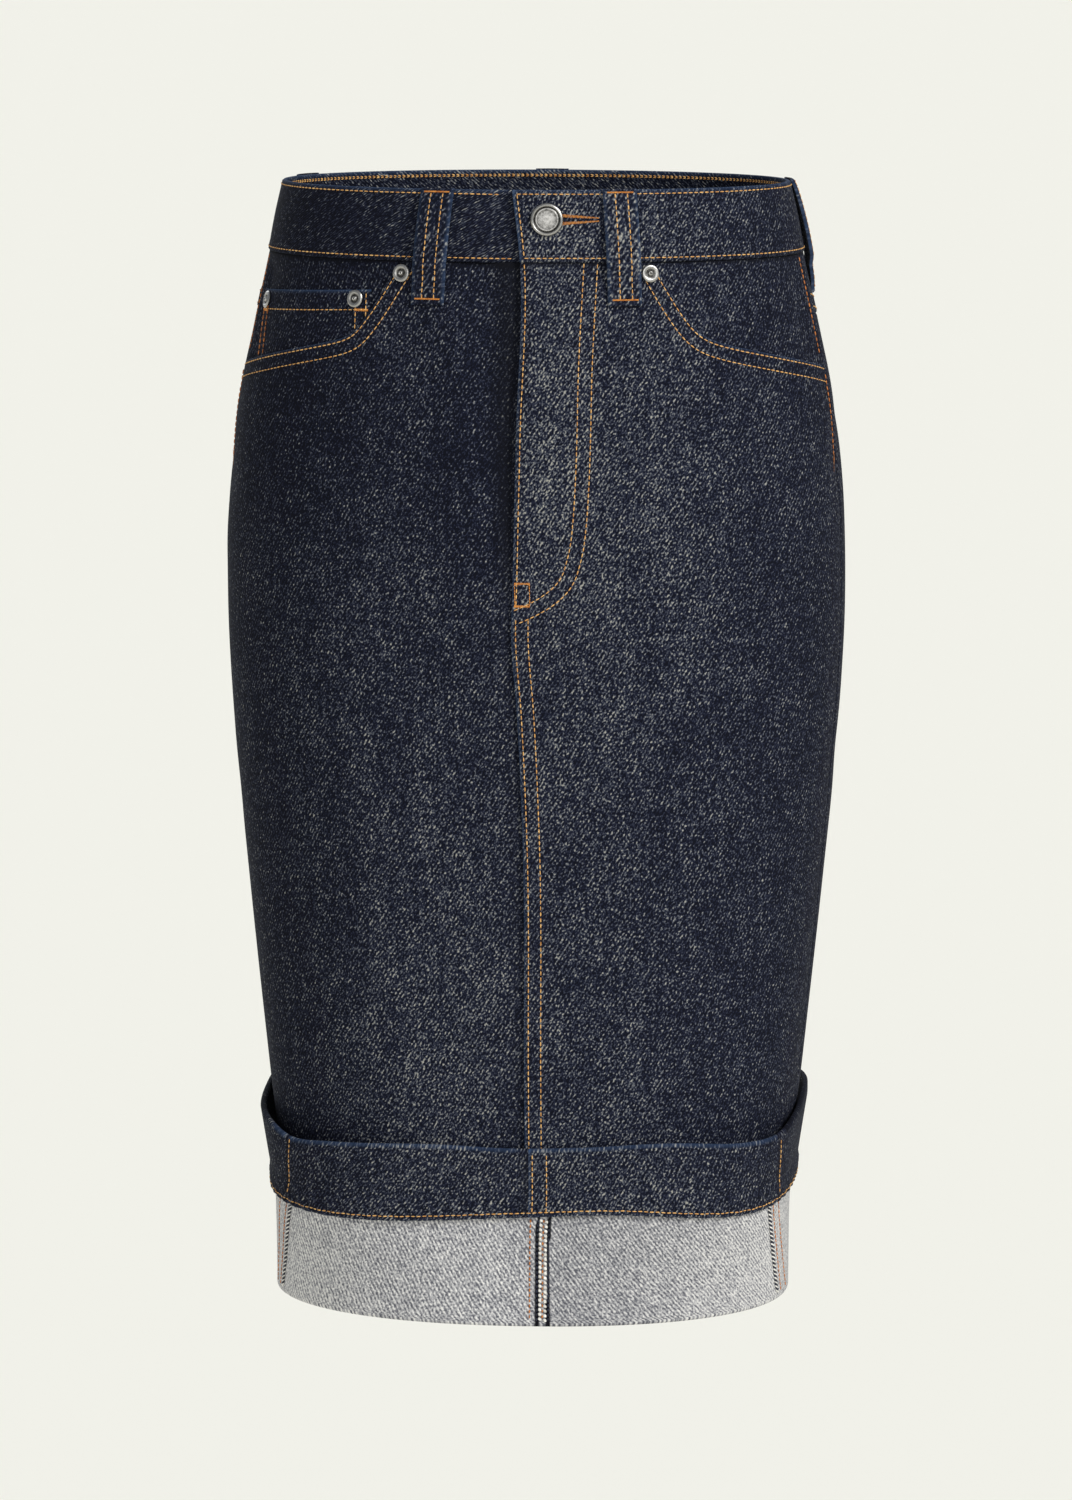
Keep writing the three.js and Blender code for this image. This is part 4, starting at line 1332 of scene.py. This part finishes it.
def overlock(place, line, z, ecru, navy, step=OVERLOCK_STEP):
    """Overlocking along a line: a dark looper thread down each side of pale loops."""
    count = np.arange(len(z))
    loop = np.arange(0, len(z) - 2, step)
    at, middle = np.interp(loop, count, z), np.interp(loop, count, line)
    for shift in (-3.2, 3.2):
        navy.stitch(place(middle + shift, at), place(middle + shift * 0.93, at - 1.9))
    for start, end, drop in ((-2.3, -0.5, 0.0), (0.4, 2.3, 0.7)):
        for lay in (0.0, 0.55):
            low = at - drop - lay
            ecru.stitch(place(middle + start, low, 0.25), place(middle + end, low - 0.7, 0.25))


def slanted_overlock(place, line, z, outward, ecru, navy):
    """Overlocking whose dark and pale loops slant down and outward in turn."""
    count = np.arange(len(z))
    for sewing, ahead, wide in ((navy, 0.0, 2.6), (navy, 0.7, 2.3), (ecru, OVERLOCK_STEP * 0.62, 2.5)):
        loop = np.arange(ahead, len(z) - 3, OVERLOCK_STEP)
        at, middle = np.interp(loop, count, z), np.interp(loop, count, line)
        reach = outward * wide
        sewing.stitch(place(middle - reach, at, 0.2), place(middle + reach, at - 2.4, 0.2))


def sew_cuff(gold, brown, ecru, navy):
    """The hem's row, the short rows on the seams of the band, and the seams on the grey."""
    def on_band(angle, z):
        return TURN_UP.lifted(angle, z, band_out(angle, z) + THREAD_RIDE)

    def on_grey(distance, z, lift=0.0):
        angle = TURN_UP.angle(distance, z)
        return TURN_UP.lifted(angle, z, cuff_wave(angle, z) + THREAD_RIDE + lift)

    angle = np.linspace(-np.pi, np.pi, 500)
    gold.row(on_band(angle, hem_height(angle) + 2.7))
    z = np.linspace(-514, -546, 16)
    for seam in (0, 1, 2, -1):
        for inset in (2.0, 9.6) if seam == 0 else (2.0,):
            gold.row(on_band(TURN_UP.angle(cuff_seam(seam, z) + inset, z), z))
    z = np.arange(-550, -607, -1.0)
    brown.row(on_grey(np.full(z.shape, 8.8), z), 3.0, 0.7)
    for row in ("left_near", "left_far", "right_near", "right_far"):
        brown.row(on_grey(grey_line(row, z), z), 3.0, 0.85)
    overlock(on_grey, grey_line("front", z), z, ecru, navy)
    brown.row(on_grey(grey_line("front", z), z, 0.6), 3.2, 0.6)
    for side in ("left", "right"):
        slanted_overlock(on_grey, grey_line(side, z), z, SIGN[side], ecru, navy)
    overlock(on_grey, grey_line("back", z), z, ecru, navy)


def sew_inside(ecru, navy):
    """The overlocked edges of the seams inside the skirt."""
    def lining(distance, z, lift=0.0):
        return on_body(distance, z, creases(distance, z) - CLOTH - 2 * THREAD_RIDE - 0.6 - lift)

    z = np.arange(-44.0, -600.0, -1.0)
    for seam, turned in ((1, -5), (-1, 5), (2, 5)):
        overlock(lining, seam_at(seam, z) + turned, z, ecru, navy, 3.4)


def stitch_tree(material):
    """Geometry nodes that lay a stitch on every point, along the vector that the point carries."""
    tree = bpy.data.node_groups.new("lay_stitches_" + material.name, "GeometryNodeTree")
    face = tree.interface
    inputs = (("Geometry", "Geometry", None), ("Thickness", "Float", THREAD_THICK * MM),
              ("Flatness", "Float", 0.78), ("Uneven", "Float", 0.16), ("Seed", "Int", 11))
    for name, kind, value in inputs:
        socket = face.new_socket(name, in_out="INPUT", socket_type="NodeSocket" + kind)
        if value is not None:
            socket.default_value = value
    face.new_socket("Geometry", in_out="OUTPUT", socket_type="NodeSocketGeometry")
    make = Tree(tree)
    given = make.node("NodeGroupInput")
    point, thickness, flatness, uneven, chosen = (Socket(make, given.outputs[k]) for k in range(5))
    along = make.make("GeometryNodeInputNamedAttribute", {"Name": "along"}, data_type="FLOAT_VECTOR")
    length = make.make("ShaderNodeVectorMath", {0: along}, output=1, operation="LENGTH")
    away = make.make("GeometryNodeInputNamedAttribute", {"Name": "away"}, data_type="FLOAT_VECTOR")
    turned = make.make("FunctionNodeAlignRotationToVector", {"Vector": along}, axis="X")
    rolled = make.make("FunctionNodeAlignRotationToVector", {"Rotation": turned, "Vector": away},
                       axis="Z", pivot_axis="X")
    chance = make.make("FunctionNodeRandomValue",
                       {2: 1 - uneven, 3: 1 + uneven, "Seed": chosen}, output=1)
    thick = thickness * chance
    size = make.make("ShaderNodeCombineXYZ", {"X": length * 1.08, "Y": thick, "Z": thick * flatness})
    grain = make.make("GeometryNodeMeshUVSphere", {"Segments": 6, "Rings": 5, "Radius": 0.5})
    laid = make.make("GeometryNodeInstanceOnPoints",
                     {"Points": point, "Instance": grain, "Rotation": rolled, "Scale": size})
    solid = make.make("GeometryNodeRealizeInstances", {"Geometry": laid})
    painted = make.make("GeometryNodeSetMaterial", {"Geometry": solid, "Material": material})
    soft = make.make("GeometryNodeSetShadeSmooth", {0: painted})
    make.node("NodeGroupOutput", {0: soft})
    return tree


def lay_stitches(name, sewing, material, thickness):
    """Makes one piece of all the stitches in a thread."""
    start = np.concatenate(sewing.starts) * MM
    end = np.concatenate(sewing.ends) * MM
    middle, along = (start + end) / 2, end - start
    mesh = bpy.data.meshes.new(name)
    mesh.from_pydata(middle.tolist(), [], [])
    outward = middle * [1, 1, 0]
    outward /= np.linalg.norm(outward, axis=1, keepdims=True)
    for label, vectors in (("along", along), ("away", outward)):
        attribute = mesh.attributes.new(label, "FLOAT_VECTOR", "POINT")
        attribute.data.foreach_set("vector", vectors.reshape(-1).astype(np.float32))
    piece = add_object(name, mesh)
    tree = stitch_tree(material)
    modifier = piece.modifiers.new("stitches", "NODES")
    modifier.node_group = tree
    items = tree.interface.items_tree
    sockets = {item.name: item.identifier for item in items if item.in_out == "INPUT"}
    modifier[sockets["Thickness"]] = thickness * MM
    apply_modifiers(piece)
    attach(piece, BODY_NAME)


# Metal
def turned_piece(node, profile, distance, z, sides):
    """A lathed piece set on the cloth. profile rows are radius, height and shine, from the foot up."""
    angle = BODY.angle(distance, z)
    normal = Vector(BODY.normal(angle, np.asarray(z, float)))
    turn = np.array(normal.to_track_quat("Z", "Y").to_matrix())
    spins = np.linspace(0, 2 * math.pi, sides, endpoint=False)
    rows = [(radius, height, shine, spin) for radius, height, shine in profile[1:-1] for spin in spins]
    rows += [(0, height, shine, 0) for _, height, shine in (profile[0], profile[-1])]
    radius, height, shine, spin = np.array(rows).T
    local = np.stack([radius * np.cos(spin), radius * np.sin(spin), height], axis=-1)
    points = (BODY.lifted(angle, z, 0.0) + local @ turn.T) * MM
    rings = len(profile) - 2
    foot, crown, top = rings * sides, rings * sides + 1, (rings - 1) * sides
    faces = []
    for k in range(sides):
        after = (k + 1) % sides
        for low in range(0, top, sides):
            faces.append((low + k, low + after, low + sides + after, low + sides + k))
        faces += [(foot, after, k), (crown, top + k, top + after)]
    mesh = bpy.data.meshes.new(f"{node}_turned")
    mesh.from_pydata(points.tolist(), [], faces)
    mesh.attributes.new("fade", "FLOAT", "POINT").data.foreach_set("value", shine)
    mesh.polygons.foreach_set("use_smooth", [True] * len(faces))
    mesh.set_sharp_from_angle(angle=math.radians(38))
    mesh.materials.append(SILVER)
    piece = add_object(f"{node}_turned", mesh)
    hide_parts(node)
    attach(piece, BODY_NAME)


# Radius, height and shine from the foot up. Shine is 0 in a dark hollow.
BUTTON_CAP = (
    (2, 0, 0.1), (7.5, 0, 0.2), (8.35, 0.25, 0.5), (8.7, 0.8, 0.8), (8.6, 1.4, 0.9), (8.2, 1.9, 1.0),
    (7.6, 2.05, 0.9), (7.1, 1.8, 0.5), (6.8, 1.2, 0.0), (6.4, 1.0, 0.0), (6.0, 1.25, 0.35),
    (5.6, 1.3, 0.55), (5.3, 1.2, 0.2), (3.6, 1.38, 0.42), (1.8, 1.5, 0.5), (0, 1.54, 0.5),
)
RIVET = (
    (0, 0, 0.2), (4.2, 0, 0.3), (4.7, 0.35, 0.7), (4.75, 0.7, 0.9), (4.45, 1.15, 1.0), (3.9, 1.35, 1.0),
    (3.2, 1.3, 0.8), (2.6, 1.0, 0.35), (2.1, 0.72, 0.05), (1.6, 0.75, 0.05), (1.3, 1.2, 0.5),
    (1.05, 1.75, 0.9), (0.6, 1.95, 0.8), (0.35, 1.7, 0.2), (0, 1.5, 0.1),
)
RIVETS = {
    "rivet_pocket_right": (-63.6, -44.6, 0.0),
    "rivet_pocket_left": (70.2, -44.1, 0.0),
    "rivet_coin_inner": (-92.1, -58.8, -COIN["sink"]),
    "rivet_coin_outer": (-168.9, -63.4, -COIN["sink"]),
}


def raised(profile, foot):
    return [(radius, foot + height, shine) for radius, height, shine in profile]


def button():
    """A shank button: a rolled rim round a dished face with a plain ringed dome."""
    post = WAISTBAND_OUT - UNDERLAP_DROP + GAP
    under = WAISTBAND_OUT + GAP + 0.45
    profile = [(0, post, 0.2), (2, post, 0.2)] + raised(BUTTON_CAP, under)
    turned_piece("button", profile, BUTTON["distance"], BUTTON["z"], 64)


# Putting the skirt together
for side in ("right", "left"):
    front_panel(side)
    pocket_facing(side)
    back_piece(side, "yoke", 28, 60.0, lambda share, v: lerp(yoke_edge(share), SEAM_Z, v))
    back_piece(side, "back", 160, 400.0, lambda share, v: lerp(PANEL_FOOT, yoke_edge(share) - GAP, v))
    back_pocket(side)
coin_pocket()
waistband()
for name in LOOPS:
    belt_loop(name)
for name in CUFF_PANELS:
    turn_up(name)
    hem_band(name)
button()
for node, (distance, z, base) in RIVETS.items():
    turned_piece(node, raised(RIVET, base + GAP), distance, z, 40)

# Each piece of stitching, with its thread and how thick that lies
STITCHING = {
    "gold_stitching_front": (GOLD_THREAD, THREAD_THICK),
    "gold_stitching_back": (GOLD_THREAD, THREAD_THICK),
    "gold_stitching_waistband": (GOLD_THREAD, THREAD_THICK),
    "gold_stitching_cuff": (GOLD_THREAD, THREAD_THICK),
    "brown_under_stitching": (BROWN_THREAD, 0.9),
    "orange_tacks": (ORANGE_THREAD, 0.5),
    "ecru_overlock": (ECRU_THREAD, 1.15),
    "navy_overlock": (NAVY_THREAD, 1.1),
    "ecru_overlock_inside": (ECRU_THREAD, 1.15),
    "navy_overlock_inside": (NAVY_THREAD, 1.1),
}
sewn = {name: Sewing() for name in STITCHING}
gold_front, gold_back, gold_waist, gold_cuff, brown, orange, *overlocked = sewn.values()
sew_front(gold_front, brown, orange)
sew_coin_pocket(gold_front, brown, orange)
sew_loops(gold_waist, orange)
sew_waistband(gold_waist, orange)
sew_back(gold_back, orange)
sew_cuff(gold_cuff, brown, *overlocked[:2])
sew_inside(*overlocked[2:])
for name, (material, thickness) in STITCHING.items():
    lay_stitches(name, sewn[name], material, thickness)


# The stage, the light and the camera
CAMERA_AWAY = 3.6             # level distance from the skirt's axis
CAMERA_HEIGHT = 0.21
CAMERA_TURN = math.radians(5.5)
CAMERA_AIM = Vector((0, 0, -0.31194))
LENS = 159.39
BACKDROP = colour(241, 241, 233)


def floor():
    """A wide pale floor well below the skirt."""
    mesh = bpy.data.meshes.new("studio_floor")
    reach, level = 60.0, -1.7
    corners = [(x * reach, y * reach, level) for x, y in ((-1, -1), (1, -1), (1, 1), (-1, 1))]
    mesh.from_pydata(corners, [], [(0, 1, 2, 3)])
    material, tree, shader = new_material("pale_floor")
    feed(tree, shader, Base_Color=(0.925, 0.90, 0.807, 1.0), Roughness=1.0, Specular_IOR_Level=0.0)
    mesh.materials.append(material)
    add_object("studio_floor", mesh)


def sun(name, turn, rise, strength, soft, tint=(1, 1, 1)):
    """A distant light, turn degrees to the viewer's right of the front and rise degrees up."""
    light = bpy.data.lights.new(name, "SUN")
    light.energy = strength
    light.angle = math.radians(soft)
    light.color = tint
    lamp = add_object(name, light)
    turn, rise = math.radians(turn), math.radians(rise)
    level = math.cos(rise)
    towards = Vector((math.sin(turn) * level, -math.cos(turn) * level, math.sin(rise)))
    lamp.rotation_euler = towards.to_track_quat("Z", "Y").to_euler()
    lamp.location = towards * 3


def studio():
    world = bpy.data.worlds.new("studio")
    bpy.context.scene.world = world
    world.use_nodes = True
    world.node_tree.nodes.clear()
    tree = Tree(world.node_tree)
    seen = tree.make("ShaderNodeLightPath", output=0)
    glow = tree.make("ShaderNodeBackground", {"Color": (0.92, 0.98, 1.08, 1.0), "Strength": 0.30})
    sight = tree.make("ShaderNodeBackground", {"Color": BACKDROP, "Strength": 1.0})
    both = tree.make("ShaderNodeMixShader", {0: seen, 1: glow, 2: sight})
    tree.node("ShaderNodeOutputWorld", {"Surface": both})
    sun("key_light", turn=50, rise=36, strength=2.6, soft=18)
    sun("front_fill", turn=6, rise=14, strength=0.8, soft=40)
    sun("back_fill", turn=205, rise=26, strength=1.0, soft=50, tint=(0.93, 0.97, 1.0))


def camera():
    data = bpy.data.cameras.new("photo_camera")
    data.lens = LENS
    data.sensor_width = 36.0
    data.sensor_fit = "AUTO"
    data.clip_end = 300.0
    seat = add_object("photo_camera", data)
    side, front = CAMERA_AWAY * math.sin(CAMERA_TURN), -CAMERA_AWAY * math.cos(CAMERA_TURN)
    seat.location = (side, front, CAMERA_HEIGHT)
    seat.rotation_euler = (CAMERA_AIM - seat.location).to_track_quat("-Z", "Y").to_euler()
    bpy.context.scene.camera = seat


floor()
studio()
camera()
bpy.context.scene.view_settings.view_transform = "Standard"
